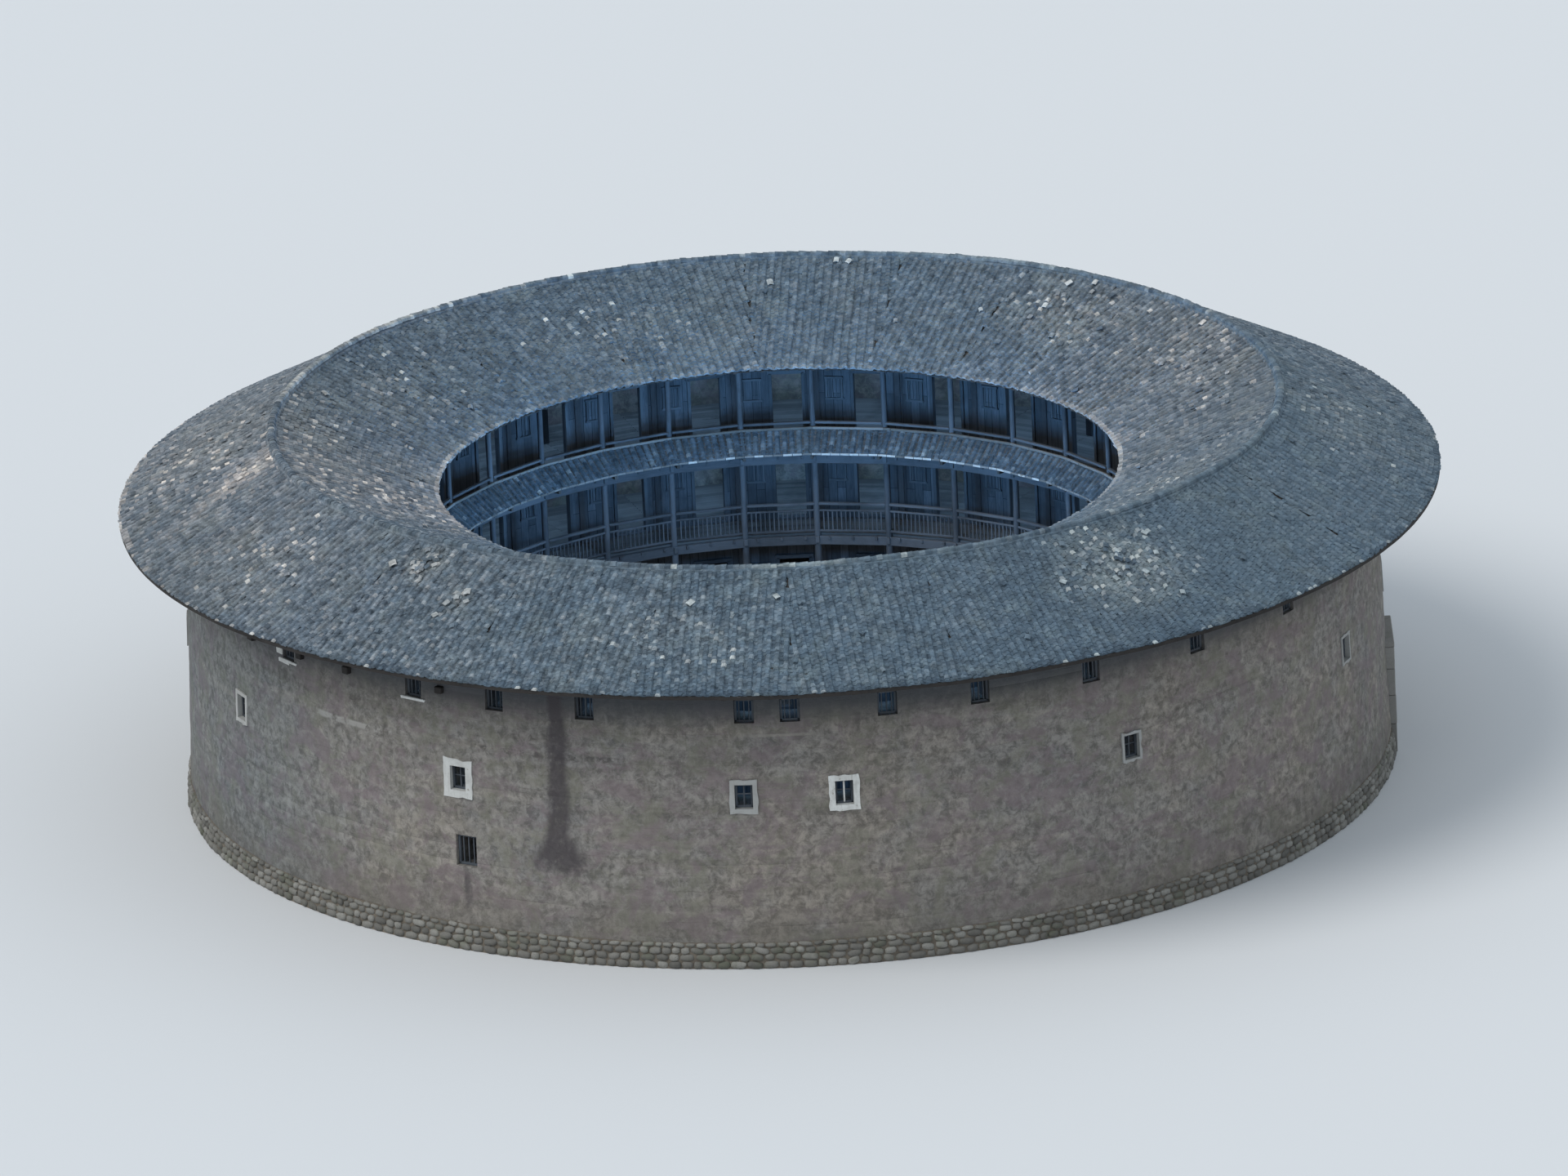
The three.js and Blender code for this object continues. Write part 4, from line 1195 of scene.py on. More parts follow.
shell(bed, [(RIDGE_R - 0.15, roof_in(RIDGE_R - 0.15) - 0.075), (RIDGE_R, RIDGE_Z - 0.10), (RIDGE_R + 0.15, roof_out(RIDGE_R + 0.15) - 0.075), (RIDGE_R + 0.14, roof_out(RIDGE_R + 0.14) - 0.030), (RIDGE_R, RIDGE_Z + 0.012), (RIDGE_R - 0.14, roof_in(RIDGE_R - 0.14) - 0.030)], 0, 360, 288, 0.34, closed_ring=True, warp=sunk)
bed.warm = [np.repeat(warm_at(np.arange(288) * 1.25, False), 6)]
bed.make("ridge_mortar_bed", RIDGE_TILE, "ridge_mortar")

# tiles that have slipped and lie askew
slip = Shape()
seg = np.linspace(-1, 1, 4)


def slipped(phi, r, inner, size=0.19, tone=0.9):
    h = roof_in if inner else roof_out
    k = (RIDGE_Z - EAVE_IN_Z) / (RIDGE_R - EAVE_IN_R) if inner else -(RIDGE_Z - EAVE_OUT_Z) / (EAVE_OUT_R - RIDGE_R)
    X, Y, Z = (c[0] for c in axes_at([phi]))
    D = Y + Z * k
    D /= np.linalg.norm(D)
    N = np.cross(X, D)
    if N[2] < 0:
        N = -N
    turn = rng.uniform(-0.9, 0.9)
    A = X * math.cos(turn) + D * math.sin(turn)
    B = -X * math.sin(turn) + D * math.cos(turn)
    c = pol(phi, r, float(h(r)))
    c = c - np.array([0, 0, float(sag(np.array([c[:2]]), None)[0])]) + N * 0.012
    pts = []
    for t in (0.0, -0.012):
        for w in (-1, 1):
            for s in seg:
                pts.append(c + A * s * size * 0.42 + B * w * size * 0.5 + N * (t + 0.022 * (1 - s * s)) + N * 0.01 * w * rng.uniform(0, 1))
    idx = lambda t, w, s: t * 8 + w * 4 + s
    q = []
    for s in range(3):
        q.append([idx(0, 0, s), idx(0, 0, s + 1), idx(0, 1, s + 1), idx(0, 1, s)])
        q.append([idx(1, 0, s), idx(1, 1, s), idx(1, 1, s + 1), idx(1, 0, s + 1)])
        q.append([idx(0, 0, s), idx(1, 0, s), idx(1, 0, s + 1), idx(0, 0, s + 1)])
        q.append([idx(0, 1, s), idx(0, 1, s + 1), idx(1, 1, s + 1), idx(1, 1, s)])
    q.append([idx(0, 0, 0), idx(0, 1, 0), idx(1, 1, 0), idx(1, 0, 0)])
    q.append([idx(0, 0, 3), idx(1, 0, 3), idx(1, 1, 3), idx(0, 1, 3)])
    q = np.array(q)
    if np.dot(np.cross(A, B), N) < 0:
        q = q[:, ::-1]
    slip.add(pts, q, None, tone, 0.0, float(warm_at(phi, inner)))


for phi_, r_, inner_, size_ in (
    (180, 12.3, True, 0.20), (172, 13.1, True, 0.17), (170.5, 13.05, True, 0.16), (141.5, 12.95, True, 0.20), (138.2, 13.15, True, 0.17), (142.0, 12.0, True, 0.17), (117.5, 13.0, True, 0.20), (-107.7, 12.6, True, 0.19),
    (-44.6, 14.45, False, 0.24), (-41.7, 14.3, False, 0.20), (-40.2, 13.95, False, 0.18), (-39.6, 14.2, False, 0.16), (-33.6, 14.84, False, 0.22), (-35.3, 15.7, False, 0.17), (-9.6, 14.6, False, 0.21), (-0.8, 14.46, False, 0.17), (36.5, 14.6, False, 0.16), (34.0, 15.4, False, 0.17),
):
    slipped(phi_, r_, inner_, size_, 0.97)
for _ in range(60):
    p_ = rng.uniform(-180, 180)
    inner_ = rng.random() < 0.42
    r_ = rng.uniform(9.3, 13.0) if inner_ else rng.uniform(13.8, 17.3)
    slipped(p_, r_, inner_, rng.uniform(0.13, 0.18), rng.choice([0.10, 0.40, 0.65, 0.80], p=[0.3, 0.3, 0.3, 0.1]))
for c, rc, wa, wr, inner_, cnt in ((36, 15.0, 5, 1.0, False, 20), (-41, 14.2, 1.6, 0.55, False, 22), (-34.5, 15.2, 1.4, 0.4, False, 6), (-80, 14.6, 1.5, 1.2, False, 5), (-94, 15.4, 8, 1.4, False, 8), (138, 11.9, 9, 1.0, True, 12), (105, 11.8, 12, 1.1, True, 8), (150, 15.2, 12, 1.2, False, 14)):
    for _ in range(cnt):
        slipped(c + rng.normal(0, wa * 0.55), float(np.clip(rc + rng.normal(0, wr * 0.5), 9.3 if inner_ else 13.8, 13.0 if inner_ else 17.3)), inner_, rng.uniform(0.13, 0.19), rng.choice([0.08, 0.5, 0.75, 0.92], p=[0.3, 0.2, 0.3, 0.2]))
slip.make("slipped_tiles", TILE, "roof_tile")

# ------------------------------------------------------------------ galleries
post_phi = np.array([grid(k) for k in range(BAYS)])
eave_top = roof_in((POST_R - 0.1) * FLAT) - ROOF_T - 0.005
posts = Shape()
for z0, z1, r in ((GROUND + 0.17, FLOOR_2 - 0.30, 0.105), (FLOOR_2 - 0.06, FLOOR_3 - 0.30, 0.090), (FLOOR_3 - 0.06, eave_top - 0.15, 0.080)):
    round_posts(posts, pol(post_phi, POST_R, z0), z1 - z0, r, 10, 4, 0.08, 0.005)
posts.make("gallery_posts", WOOD_POST, "timber", tuple(f"gallery_frame_{side}" for side in SIDES), smooth=50)
bases = Shape()
for f in pol(post_phi, POST_R, GROUND):
    round_posts(bases, [f], 0.17, 0.155, 10, 3, 0.12, 0.0)
bases.make("post_base_stones", GRANITE, "granite", smooth=50)

beams = Shape()
ends = np.array([grid(k) for k in range(BAYS)])


def ring_timbers(shape, r, z0, z1, w, edge=0.012, trim=0.0, lift=0.004):
    p = pol(ends, r, (z0 + z1) / 2)
    q = pol(ends + BAY, r, (z0 + z1) / 2)
    d = (q - p) / np.linalg.norm(q - p, axis=1)[:, None]
    p, q = p + d * trim, q - d * trim
    p[:, 2] += rng.normal(0, lift, len(p))
    q[:, 2] += rng.normal(0, lift, len(q))
    between(shape, p, q, w, z1 - z0, edge)


for z in (FLOOR_2, FLOOR_3):
    ring_timbers(beams, POST_R, z - 0.30, z - 0.062, 0.17, lift=0.003)
    radial_bars(beams, post_phi, POST_R - 0.14, FRONT_IN - 0.01, z - 0.24, z - 0.063, 0.11, 0.01)
    for off in (-BAY / 3, 0.0, BAY / 3):
        mids = post_phi + HALF + off
        radial_bars(beams, mids, (BEAM_IN + 0.02) * FLAT, FRONT_IN * FLAT - 0.02, z - 0.145, z - 0.063, 0.07, 0.008)
ring_timbers(beams, POST_R, eave_top - 0.20, eave_top - 0.01, 0.15, lift=0.003)
beams.make("gallery_beams", WOOD_RING, "timber")

rails = Shape()
for z in (FLOOR_2, FLOOR_3):
    ring_timbers(rails, POST_R - 0.03, z + RAIL - 0.075, z + RAIL - 0.005, 0.105, trim=0.06)
    ring_timbers(rails, POST_R - 0.03, z + 0.64, z + 0.69, 0.05, 0.008, trim=0.07)
    ring_timbers(rails, POST_R - 0.03, z + 0.07, z + 0.13, 0.06, 0.008, trim=0.07)
rails.make("gallery_rails", WOOD_RING, "timber")
bal = Shape()
for z in (FLOOR_2, FLOOR_3):
    for k in range(BAYS):
        p, q = pol(grid(k), POST_R - 0.03, 0), pol(grid(k) + BAY, POST_R - 0.03, 0)
        L = np.linalg.norm(q - p)
        c = int((L - 0.26) / 0.115)
        t = (np.arange(c) + 0.5) / c * (L - 0.26) / L + 0.13 / L
        pts = p[None] + (q - p)[None] * t[:, None] + np.array([0, 0, z + 0.10])
        top = pts + np.array([0, 0, 0.56])
        X = np.tile((q - p) / L, (c, 1))
        Z = np.tile([0, 0, 1.0], (c, 1))
        blocks(bal, (pts + top) / 2, X, np.cross(Z, X), Z, np.tile([0.016, 0.013, 0.28], (c, 1)), None, rng.random(c))
bal.make("gallery_balusters", WOOD_POST, "timber")

# floor boards, laid along each bay
for name, z, r0, r1, thick, node in (
    ("gallery_boards_2", FLOOR_2, POST_R + 0.03, FRONT_IN - 0.01, 0.055, "gallery_floor_2"),
    ("gallery_boards_3", FLOOR_3, POST_R + 0.03, FRONT_IN - 0.01, 0.055, "gallery_floor_3"),
    ("room_boards_2", FLOOR_2, FRONT_OUT + 0.005, 14.78, 0.075, "room_floor_2"),
    ("room_boards_3", FLOOR_3, FRONT_OUT + 0.005, 14.78, 0.075, "room_floor_3"),
):
    sh = Shape()
    count = int(round((r1 - r0) / 0.19))
    w = (r1 - r0) / count
    for b in range(count):
        r = r0 + (b + 0.5) * w
        p, q = pol(ends, r, z - thick / 2), pol(ends + BAY, r, z - thick / 2)
        d = (q - p) / np.linalg.norm(q - p, axis=1)[:, None]
        p, q = p + d * 0.004, q - d * 0.004
        lift = rng.uniform(-0.004, 0, len(p))
        p[:, 2] += lift
        q[:, 2] += lift
        between(sh, p, q, w * FLAT - 0.008, thick - 0.004)
    sh.make(name, WOOD_BOARD, "planks", (node,))

# ------------------------------------------------------------------ room fronts
for side in SIDES:
    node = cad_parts[f"room_front_{side}"]
    node.data.materials.clear()
    node.data.materials.append(WOOD_FRONT)
front = Shape()
shutters = Shape()
for k in range(BAYS):
    at = k * BAY
    X, Y, Z = (c[0] for c in axes_at([at]))
    rf = FRONT_IN * FLAT
    for lev, z in enumerate((GROUND, FLOOR_2, FLOOR_3)):
        if lev == 0 and k == 8:
            cx = 0.0
            for s in (-1, 1):
                blocks(front, pol(at, rf - 0.03, 0) + X * s * 0.96 + Z * (z + 1.25), X, Y, Z, (0.07, 0.05, 1.22), 0.01, 0.4)
            blocks(front, pol(at, rf - 0.03, 0) + Z * (z + 2.48), X, Y, Z, (1.1, 0.05, 0.08), 0.01, 0.4)
            continue
        cx = math.tan(math.radians(-1.6)) * rf
        c0 = pol(at, rf, 0)
        for s in (-1, 1):
            blocks(front, c0 - Y * 0.028 + X * (cx + s * 0.445) + Z * (z + 0.93), X, Y, Z, (0.045, 0.034, 0.92), 0.008, rng.random())
        blocks(front, c0 - Y * 0.028 + X * cx + Z * (z + 1.865), X, Y, Z, (0.53, 0.034, 0.055), 0.008, rng.random())
        blocks(front, c0 - Y * 0.02 + X * cx + Z * (z + 0.033), X, Y, Z, (0.42, 0.045, 0.03), 0.008, rng.random())
        # shuttered window beside the door: frame, sill and upright bars
        wx = 0.62
        wz = z + (1.32 if lev == 0 else 1.38)
        hw, hh = (0.27, 0.36) if lev == 0 else (0.21, 0.30)
        for s in (-1, 1):
            blocks(front, c0 - Y * 0.026 + X * (wx + s * hw) + Z * wz, X, Y, Z, (0.028, 0.028, hh + 0.03), 0.006, rng.random())
        for s in (-1, 1):
            blocks(front, c0 - Y * 0.028 + X * wx + Z * (wz + s * hh), X, Y, Z, (hw + 0.05, 0.032, 0.03), 0.006, rng.random())
        nb = 5 if lev == 0 else 4
        for b in range(nb):
            blocks(front, c0 - Y * 0.022 + X * (wx + (b + 0.5 - nb / 2) * (2 * hw / nb)) + Z * wz, X, Y, Z, (0.012, 0.014, hh), None, rng.random())
        blocks(shutters, c0 - Y * 0.005 + X * wx + Z * wz, X, Y, Z, (hw, 0.006, hh), None, rng.random() * 0.3)
front_posts = Shape()
radial_bars(front_posts, post_phi, FRONT_IN - 0.05, FRONT_IN + 0.06, GROUND + 0.005, 9.04, 0.15, 0.012)
front_posts.make("room_front_posts", WOOD_POST, "timber")
front.make("room_front_frames", WOOD_POST, "timber")
shutters.make("room_window_backs", WOOD_FRONT, "planks")
rl = Shape()
for z in (GROUND + 2.62, FLOOR_2 + 2.05, FLOOR_3 + 2.1):
    p, q = pol(ends, FRONT_IN - 0.03, z), pol(ends + BAY, FRONT_IN - 0.03, z)
    between(rl, p, q, 0.07, 0.12, 0.01)
rl.make("room_front_rails", WOOD_RING, "timber")

# ------------------------------------------------------------------ ground floor
ground = Shape()
shell(ground, [(YARD_R + 0.36, 0.0), (14.84, 0.0), (14.84, GROUND - 0.012), (YARD_R + 0.36, GROUND - 0.012)], 0, 360, 160, closed_ring=True)
shell(ground, [(14.80, 0.0), (15.44, 0.0), (15.44, GROUND - 0.010), (14.80, GROUND - 0.010)], 86.05, 93.95, 6)
ground.make("veranda_floor", FLOOR_EARTH, "river_stone", ("ground_floor",))
edge = Shape()
phi, x = [], 0.0
while x < 359.0:
    w = rng.uniform(3.4, 6.2)
    w = min(w, 360 - x)
    phi.append((x, x + w))
    x += w
for p0, p1 in phi:
    m_ = (p0 + p1) / 2
    X, Y, Z = (c[0] for c in axes_at([m_]))
    L = 2 * YARD_R * math.sin(math.radians((p1 - p0) / 2))
    blocks(edge, pol(m_, YARD_R + 0.185, GROUND / 2), X, Y, Z, (L / 2 - 0.006, 0.17, GROUND / 2 - 0.010), 0.02, rng.random(), jitter=0.002)
edge.make("veranda_edge_stones", GRANITE, "granite")

# ------------------------------------------------------------------ pent roof round the yard
skirt = Shape()
lower = Shape()
slope = (SKIRT_OUT_Z - SKIRT_IN_Z) / (SKIRT_OUT_R - SKIRT_IN_R)
flat = 0.115 / math.sqrt(1 + slope * slope)
cover = np.array([(-0.070, -0.046), (-0.036, -0.008), (0.036, -0.008), (0.070, -0.046)])
pan = np.array([(-0.095, -0.040), (0.0, -0.062), (0.095, -0.040)])
for k in range(BAYS):
    mid = k * BAY
    th = math.radians(mid)
    er, et = np.array([math.sin(th), -math.cos(th)]), np.array([math.cos(th), math.sin(th)])
    lim = math.tan(math.radians(HALF))
    for kind, prof, off in (("pan", pan, 0.5), ("cover", cover, 0.0)):
        for j in range(-6, 7):
            u = (j + off) * 0.197
            s0 = SKIRT_OUT_R * FLAT - 0.005
            s1 = SKIRT_IN_R * FLAT + 0.004 + rng.uniform(0, 0.02)
            s1 = max(s1, abs(u) / lim)
            if s0 - s1 < 0.08 or abs(u) > s0 * lim - 0.03:
                continue
            n = int(math.ceil((s0 - s1) / flat))
            s = s0 - np.minimum(np.arange(n + 1) * flat, s0 - s1)
            du = rng.normal(0, 0.005, (n, 2))
            dz = np.minimum(rng.normal(-0.002, 0.003, n), 0.002)
            ls, lu, lz = np.empty(2 * n + 1), np.empty(2 * n + 1), np.empty(2 * n + 1)
            ls[0:-1:2], ls[1::2], ls[-1] = s[:-1], s[1:], s[-1]
            lu[0:-1:2], lu[1::2], lu[-1] = du[:, 0], du[:, 1], du[-1, 1]
            lz[0:-1:2], lz[1::2], lz[-1] = dz - 0.014, dz, dz[-1]
            S = np.broadcast_to(ls[:, None], (2 * n + 1, len(prof)))
            U = u + lu[:, None] + prof[None, :, 0]
            x, y = S * er[0] + U * et[0], S * er[1] + U * et[1]
            z = SKIRT_IN_Z + (S / FLAT - SKIRT_IN_R) * slope + prof[None, :, 1] + lz[:, None]
            z[-1] = z[-2] - 0.03
            m = len(prof)
            I, J = np.meshgrid(np.arange(2 * n), np.arange(m - 1), indexing="ij")
            q = np.stack([I * m + J, (I + 1) * m + J, (I + 1) * m + J + 1, I * m + J + 1], -1).reshape(-1, 4)[:, ::-1]
            # pans darker than covers: painted shade in the troughs
            tone = np.clip(rng.beta(2.0, 2.4, n) * 0.9 + (rng.random(n) < 0.02) * 0.5, 0, 1) * (0.6 if kind == "pan" else 1)
            tl = np.empty(2 * n + 1)
            tl[0:-1:2], tl[1::2], tl[-1] = tone, tone, tone[-1]
            # warm 0 keeps the pent tiles blue grey: painted shade
            skirt.add(np.stack([x, y, z], -1).reshape(-1, 3), q, None, np.repeat(tl, m), 0.12, 0.0)
skirt.make("pent_roof_tiles", SKIRT_TILE, "roof_tile", ("skirt_roof",))

under = Shape()
for k in range(BAYS):
    a0, a1 = grid(k) - BAY, grid(k)
    prof = [(SKIRT_IN_R + 0.01, SKIRT_IN_Z - 0.078), (SKIRT_OUT_R - 0.01, SKIRT_OUT_Z - 0.078 - 0.01 * slope), (SKIRT_OUT_R - 0.01, SKIRT_OUT_Z - 0.062 - 0.01 * slope), (SKIRT_IN_R + 0.01, SKIRT_IN_Z - 0.062)]
    shell(under, prof, a0, a1, 1, rng.random())
under.make("pent_roof_boards", WOOD_DECK, "planks")
brk = Shape()
radial_bars(brk, post_phi, SKIRT_IN_R + 0.05, POST_R, SKIRT_IN_Z - 0.20, SKIRT_IN_Z - 0.09, 0.09, 0.01)
p, q = pol(ends, SKIRT_IN_R + 0.12, SKIRT_IN_Z - 0.055), pol(ends + BAY, SKIRT_IN_R + 0.12, SKIRT_IN_Z - 0.055)
between(brk, p, q, 0.08, 0.075, 0.01)
brk.make("pent_roof_brackets", WOOD_OUT, "timber")
trim = Shape()
p, q = pol(ends, SKIRT_IN_R + 0.012, SKIRT_IN_Z - 0.050), pol(ends + BAY, SKIRT_IN_R + 0.012, SKIRT_IN_Z - 0.050)
worn_off = Shape()
for b in range(7):
    kept = rng.random(len(p)) < 0.05 + 0.72 * near(ends + BAY * (b + 0.5) / 7, 150, 58)
    x0, x1 = p + (q - p) * (b + 0.03) / 7, p + (q - p) * (b + 0.97) / 7
    between(trim, x0[kept], x1[kept], 0.022, 0.055, 0.004, rng.uniform(0.45, 0.85, kept.sum()))
    between(worn_off, x0[~kept], x1[~kept], 0.022, 0.050, 0.004, rng.uniform(0.5, 1.0, (~kept).sum()))
worn_off.make("pent_roof_edging_worn", EDGING_DARK, "ridge_mortar")
trim.make("pent_roof_edging", EDGING, "ridge_mortar")
trim = Shape()
p, q = pol(ends, SKIRT_OUT_R - 0.035, SKIRT_OUT_Z - 0.045), pol(ends + BAY, SKIRT_OUT_R - 0.035, SKIRT_OUT_Z - 0.045)
between(trim, p, q, 0.06, 0.07, 0.012)
trim.make("pent_roof_flashing", EDGING_DARK, "ridge_mortar")

# ------------------------------------------------------------------ windows
wood = Shape()
lime = Shape()


def window(at, half_w, z0, z1, surround, bars, sill, dull=0.5):
    X, Y, Z = (c[0] for c in axes_at([at]))
    zc = (z0 + z1) / 2
    rw = float(wall_out(zc)) - 0.03
    hh = (z1 - z0) / 2
    c = lambda r, x, z: pol(at, r, 0) + X * x + Z * z
    # timber frame a little way in from the face
    rf = rw - 0.14
    for s in (-1, 1):
        blocks(wood, c(rf, s * (half_w - 0.035), zc), X, Y, Z, (0.03, 0.045, hh - 0.008), 0.006, rng.random())
        blocks(wood, c(rf, 0, zc + s * (hh - 0.035)), X, Y, Z, (half_w - 0.008, 0.045, 0.03), 0.006, rng.random())
    for b in range(bars):
        x = (b + 1) / (bars + 1) * 2 * half_w - half_w
        blocks(wood, c(rf, x, zc), X, Y, Z, (0.014 if bars > 1 else 0.02, 0.022, hh - 0.03), 0.004, rng.random())
    if bars == 1:
        blocks(wood, c(rf, 0, zc + hh * 0.12), X, Y, Z, (half_w - 0.03, 0.02, 0.016), 0.004, rng.random())
    if sill:
        blocks(lime, c(rw - 0.03, 0, z0 - 0.035), X, Y, Z, (half_w + 0.13, 0.075, 0.035), 0.01, dull, jitter=0.004)
    if surround:
        # a plaster band with an uneven edge that follows the wall
        side = 6
        inner, outer = [], []
        corners = [(-1, -1), (1, -1), (1, 1), (-1, 1)]
        for (ax, az), (bx, bz) in zip(corners, corners[1:] + corners[:1]):
            for t in np.linspace(0, 1, side, endpoint=False):
                sx, sz = ax + (bx - ax) * t, az + (bz - az) * t
                inner.append((sx * (half_w - 0.004), sz * (hh - 0.004)))
                outer.append((sx * (half_w + surround) + rng.normal(0, 0.012), sz * (hh + surround * 0.95) + rng.normal(0, 0.014)))
        inner, outer = np.array(inner), np.array(outer)
        k = len(inner)

        def lay(pts, off):
            z = zc + pts[:, 1]
            r = wall_out(z) + off
            ph = at + np.degrees(np.arcsin(pts[:, 0] / r))
            return pol(ph, r, z)

        v = np.concatenate([lay(outer, 0.006), lay(inner, 0.006), lay(inner, -0.20), lay(outer, -0.10)])
        i = np.arange(k)
        j = (i + 1) % k
        q = np.concatenate([np.stack([g * k + i, g * k + j, ((g + 1) % 4) * k + j, ((g + 1) % 4) * k + i], -1) for g in range(4)])
        lime.add(v, q, None, dull)


# ends of the timbers that are built into the wall under the eaves
tails = Shape()
seen = [(-70.2, 6.70), (-61.8, 6.84), (-53.2, 6.93), (-46.3, 6.97), (-34.8, 7.00)]
for phi_ in np.arange(98.0, 282.0, 8.05):
    if min(abs(phi_ - c) for c in TOP_AT) < 1.6:
        phi_ += 2.2
    seen.append((float(phi_), 7.38 + rng.uniform(-0.05, 0.05)))
for phi_, z_ in seen:
    r_ = wall_out(z_)
    radial_bars(tails, phi_, r_ - 0.30, r_ + rng.uniform(0.09, 0.14), z_ - rng.uniform(0.085, 0.11), z_ + rng.uniform(0.085, 0.11), rng.uniform(0.21, 0.27), 0.02, 0.0)
# the timber ends are very dark: painted shade under the eaves
tails.make("wall_timber_ends", TAIL_WOOD, "timber")

for c in TOP_AT:
    window(c, TOP["w"] / 2, TOP["z"] - TOP["h"] / 2, TOP["z"] + TOP["h"] / 2, 0, 3, c in (-55.4, -38.05, 168.75, 236.25), 0.62)
# how wide and how dull the limewash is round each window of the middle row
ROUND = {-64.65: (0.10, 0.86), -33.06: (0.200, 0.72), -4.63: (0.125, 0.90), 4.77: (0.155, 0.50), 123.75: (0.15, 0.75), 180: (0.20, 0.6), 236.25: (0.15, 0.7)}
for c in MID_AT:
    wide, dull_ = ROUND.get(c, (0.07, 0.98))
    window(c, MID["w"] / 2, MID["z"] - MID["h"] / 2, MID["z"] + MID["h"] / 2, wide, 1, c in (123.75, 180, 236.25), dull_)
# what is left of the limewash beside one window under the eaves, and a white bar in one below
X, Y, Z = (c[0] for c in axes_at([-55.4]))
for x_, z_, hx_, hz_ in ((-0.40, 6.92, 0.13, 0.20), (-0.36, 7.13, 0.09, 0.10), (-0.20, 6.56, 0.24, 0.055)):
    blocks(lime, pol(-55.4, float(wall_out(z_)) - 0.055, z_) + X * x_, X, Y, Z, (hx_, 0.05, hz_), 0.012, 0.66, jitter=0.006)
X, Y, Z = (c[0] for c in axes_at([4.77]))
blocks(lime, pol(4.77, float(wall_out(MID["z"])) - 0.145, MID["z"]), X, Y, Z, (0.022, 0.02, MID["h"] / 2 - 0.03), 0.004, 0.5)
window(-32.4, VENT["w"] / 2, VENT["z"] - VENT["h"] / 2, VENT["z"] + VENT["h"] / 2, 0, 3, False)
wood.make("window_frames", WOOD_POST, "timber")
lime.make("window_surrounds", LIME, "ridge_mortar", smooth=35)

# ------------------------------------------------------------------ gateway
gate = Shape()
X, Y, Z = (c[0] for c in axes_at([GATE]))
g = lambda x, r, z: pol(GATE, r, 0) + X * x + Z * z
for s in (-1, 1):
    z = 0.0
    for h in (0.78, 0.80, 0.74, 0.62):
        blocks(gate, g(s * 0.957, 15.80, z + h / 2), X, Y, Z, (0.152, 0.345 + rng.uniform(-0.008, 0.008), h / 2 - 0.005), 0.018, rng.random(), jitter=0.002)
        z += h
blocks(gate, g(0, 15.80, 3.018), X, Y, Z, (1.112, 0.345, 0.076), 0.018, 0.6)
blocks(gate, g(0, 15.80, 0.15), X, Y, Z, (0.80, 0.33, 0.148), 0.018, 0.4)
blocks(gate, g(0, 15.15, 3.022), X, Y, Z, (1.02, 0.285, 0.068), 0.014, 0.3)
gate.make("gate_stones", GRANITE, "granite", ("gate_frame",))
for name, s, node in (("gate_leaf_boards_left", -1, "gate_leaf_left"), ("gate_leaf_boards_right", 1, "gate_leaf_right")):
    lo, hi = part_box(node)
    sh = Shape()
    cy, x0, x1 = (lo.y + hi.y) / 2, lo.x, hi.x
    nb = 4
    w = (x1 - x0) / nb
    for b in range(nb):
        blocks(sh, (x0 + (b + 0.5) * w, cy, (lo.z + hi.z) / 2), (1, 0, 0), (0, 1, 0), (0, 0, 1), (w / 2 - 0.003, 0.026, (hi.z - lo.z) / 2 - 0.003), 0.005, rng.random())
    clear_side = -1 if cy > 0 else 1
    for zz in (lo.z + 0.35, (lo.z + hi.z) / 2, hi.z - 0.35):
        blocks(sh, ((x0 + x1) / 2, cy - clear_side * 0.030, zz), (1, 0, 0), (0, 1, 0), (0, 0, 1), ((x1 - x0) / 2 - 0.03, 0.009, 0.06), 0.004, rng.random())
    sh.make(name, WOOD_FRONT, "planks", (node,))

# ------------------------------------------------------------------ roof timbers that the CAD holds
for node, mat in (("outer_eave_frame_front", WOOD_OUT), ("outer_eave_frame_back", WOOD_OUT), ("wall_plate", WOOD_RING), ("ridge_frame", WOOD_POST)):
    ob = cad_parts[node]
    ob.data.materials.clear()
    ob.data.materials.append(mat)

# ------------------------------------------------------------------ floor, light and camera
me = bpy.data.meshes.new("studio_floor")
S = 900.0
me.from_pydata([(-S, -S, -0.002), (S, -S, -0.002), (S, S, -0.002), (-S, S, -0.002)], [], [(0, 1, 2, 3)])
floor = bpy.data.objects.new("studio_floor", me)
bpy.context.scene.collection.objects.link(floor)
fm = Tree("studio_floor", 0.95)
fm.put(fm.bsdf.inputs["Base Color"], (0.62, 0.625, 0.63))
me.materials.append(fm.m)
floor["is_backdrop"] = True

world = bpy.data.worlds.new("soft_light")
bpy.context.scene.world = world
world.use_nodes = True
bg = next(n for n in world.node_tree.nodes if n.type == "BACKGROUND")
bg.inputs["Color"].default_value = (0.80, 0.90, 1.0, 1)
bg.inputs["Strength"].default_value = 0.84


def sun(name, azimuth, elevation, strength, angle, color):
    light = bpy.data.lights.new(name, "SUN")
    light.energy = strength
    light.angle = math.radians(angle)
    light.color = color
    ob = bpy.data.objects.new(name, light)
    a, e = math.radians(azimuth), math.radians(elevation)
    d = Vector((math.sin(a) * math.cos(e), -math.cos(a) * math.cos(e), math.sin(e)))
    ob.rotation_euler = d.to_track_quat("Z", "Y").to_euler()
    bpy.context.scene.collection.objects.link(ob)
    return ob


sun("key_light", -62, 52, 1.6, 34, (1.0, 0.98, 0.95))
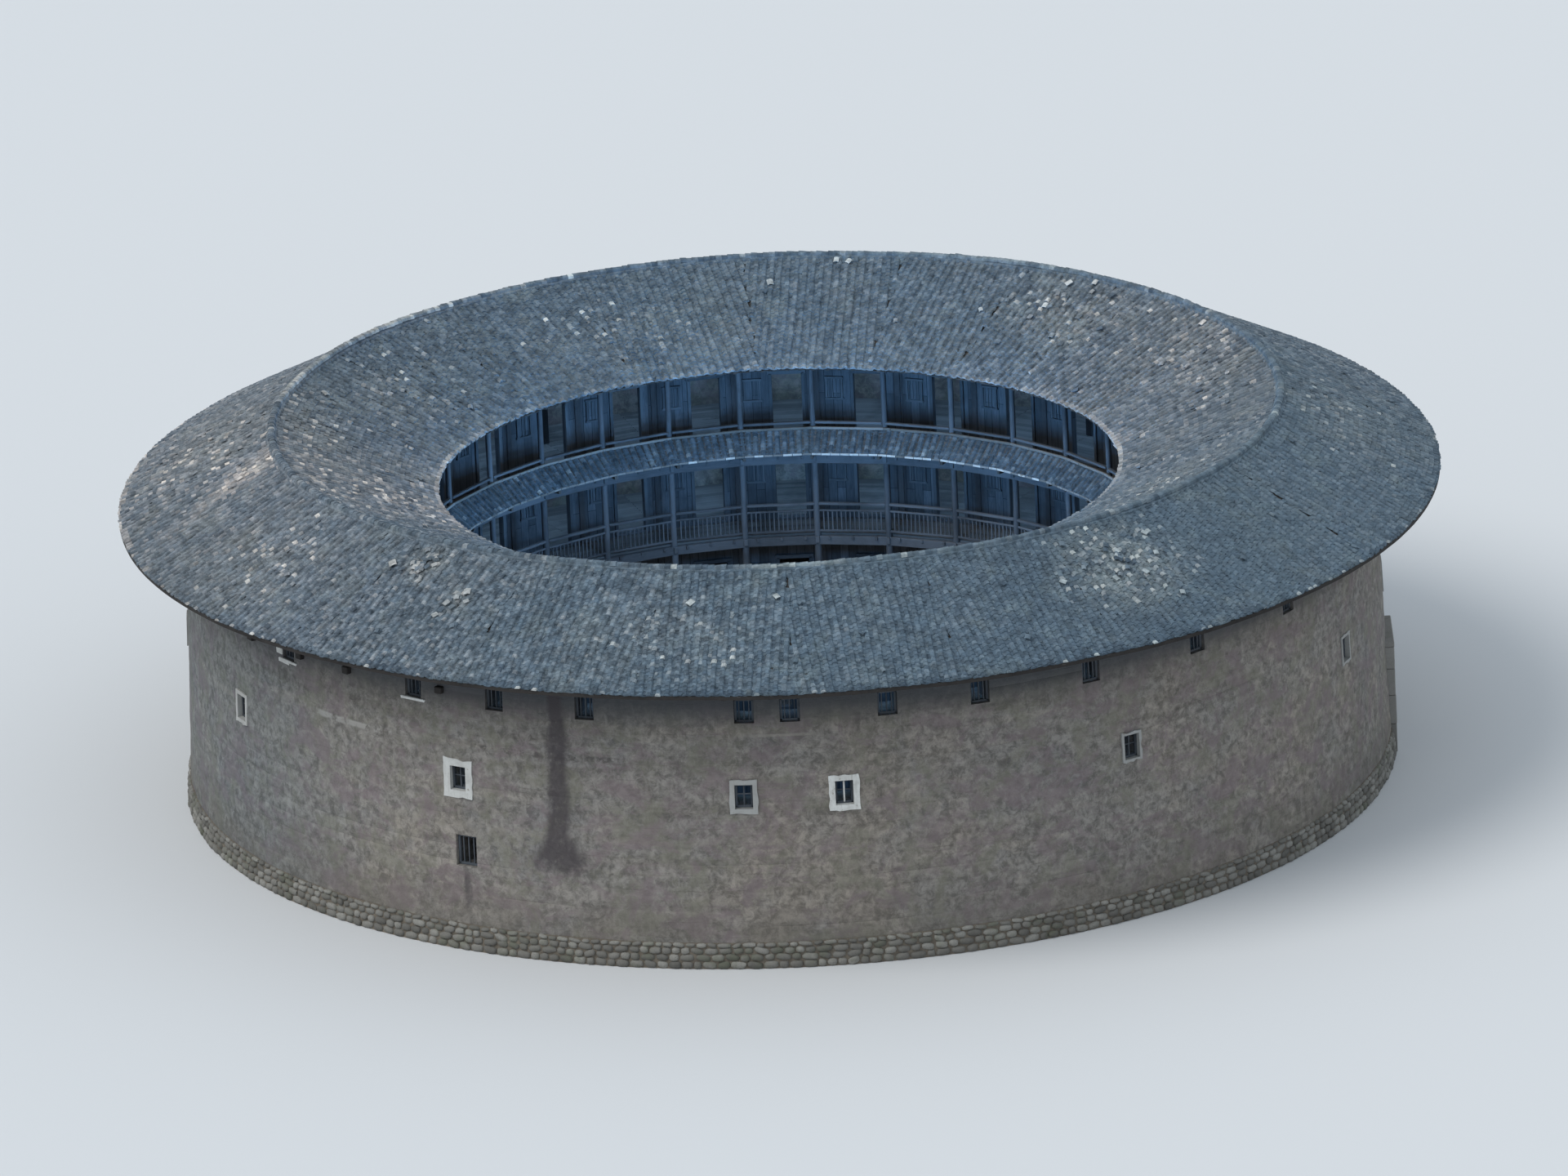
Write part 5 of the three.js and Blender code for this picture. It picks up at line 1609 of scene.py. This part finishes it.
# hazy blue light in the yard: twelve panels round its middle that face the galleries, too narrow to reach the ground
for i in range(12):
    fill = bpy.data.lights.new(f"yard_fill_{i + 1}", "AREA")
    fill.shape = "RECTANGLE"
    fill.size, fill.size_y = 1.5, 1.5
    fill.spread = math.radians(90)
    fill.energy = 145
    fill.color = (0.22, 0.54, 1.0)
    lamp = bpy.data.objects.new(f"yard_fill_{i + 1}", fill)
    a = math.radians(30 * i)
    out = Vector((math.sin(a), -math.cos(a), 0.0))
    lamp.location = out * 2.6 + Vector((0, 0, 6.8))
    lamp.rotation_euler = (-out).to_track_quat("Z", "Y").to_euler()
    bpy.context.scene.collection.objects.link(lamp)
# and a faint glow in the rooms of the upper storeys, so that their doors and windows aren't black holes
for level, z in (("2", FLOOR_3 - 0.16), ("3", 8.60)):
    for i in range(16):
        fill = bpy.data.lights.new(f"room_fill_{level}_{i + 1}", "AREA")
        fill.shape = "RECTANGLE"
        fill.size, fill.size_y = 4.2, 1.2
        fill.energy = 74.0 if level == "3" else 46.0
        fill.color = (0.34, 0.62, 1.0)
        lamp = bpy.data.objects.new(f"room_fill_{level}_{i + 1}", fill)
        a = math.radians(11.25 + 22.5 * i)
        lamp.location = (13.2 * math.sin(a), -13.2 * math.cos(a), z)
        lamp.rotation_euler = (0.0, 0.0, a)
        bpy.context.scene.collection.objects.link(lamp)

cam = bpy.data.cameras.new("photo_view")
cam.sensor_width = 36
cam.lens = 440
cam.clip_start = 10
cam.clip_end = 3000
camera = bpy.data.objects.new("photo_view", cam)
bpy.context.scene.collection.objects.link(camera)
target = Vector((0.0, 0.0, 5.0))
el = math.radians(18.44)
dist = 510.0
camera.location = target + Vector((0, -math.cos(el), math.sin(el))) * dist
back = (camera.location - target).normalized()
rot = back.to_track_quat("Z", "Y").to_matrix()
roll = Matrix.Rotation(math.radians(-2.6), 3, back)
camera.rotation_euler = (roll @ rot).to_euler()
bpy.context.scene.camera = camera
bpy.context.scene.view_settings.view_transform = "Standard"
bpy.context.scene.view_settings.look = "None"

size = {"cad": CAD_BOX, "visual": [[float(c) for c in p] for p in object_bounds()]}
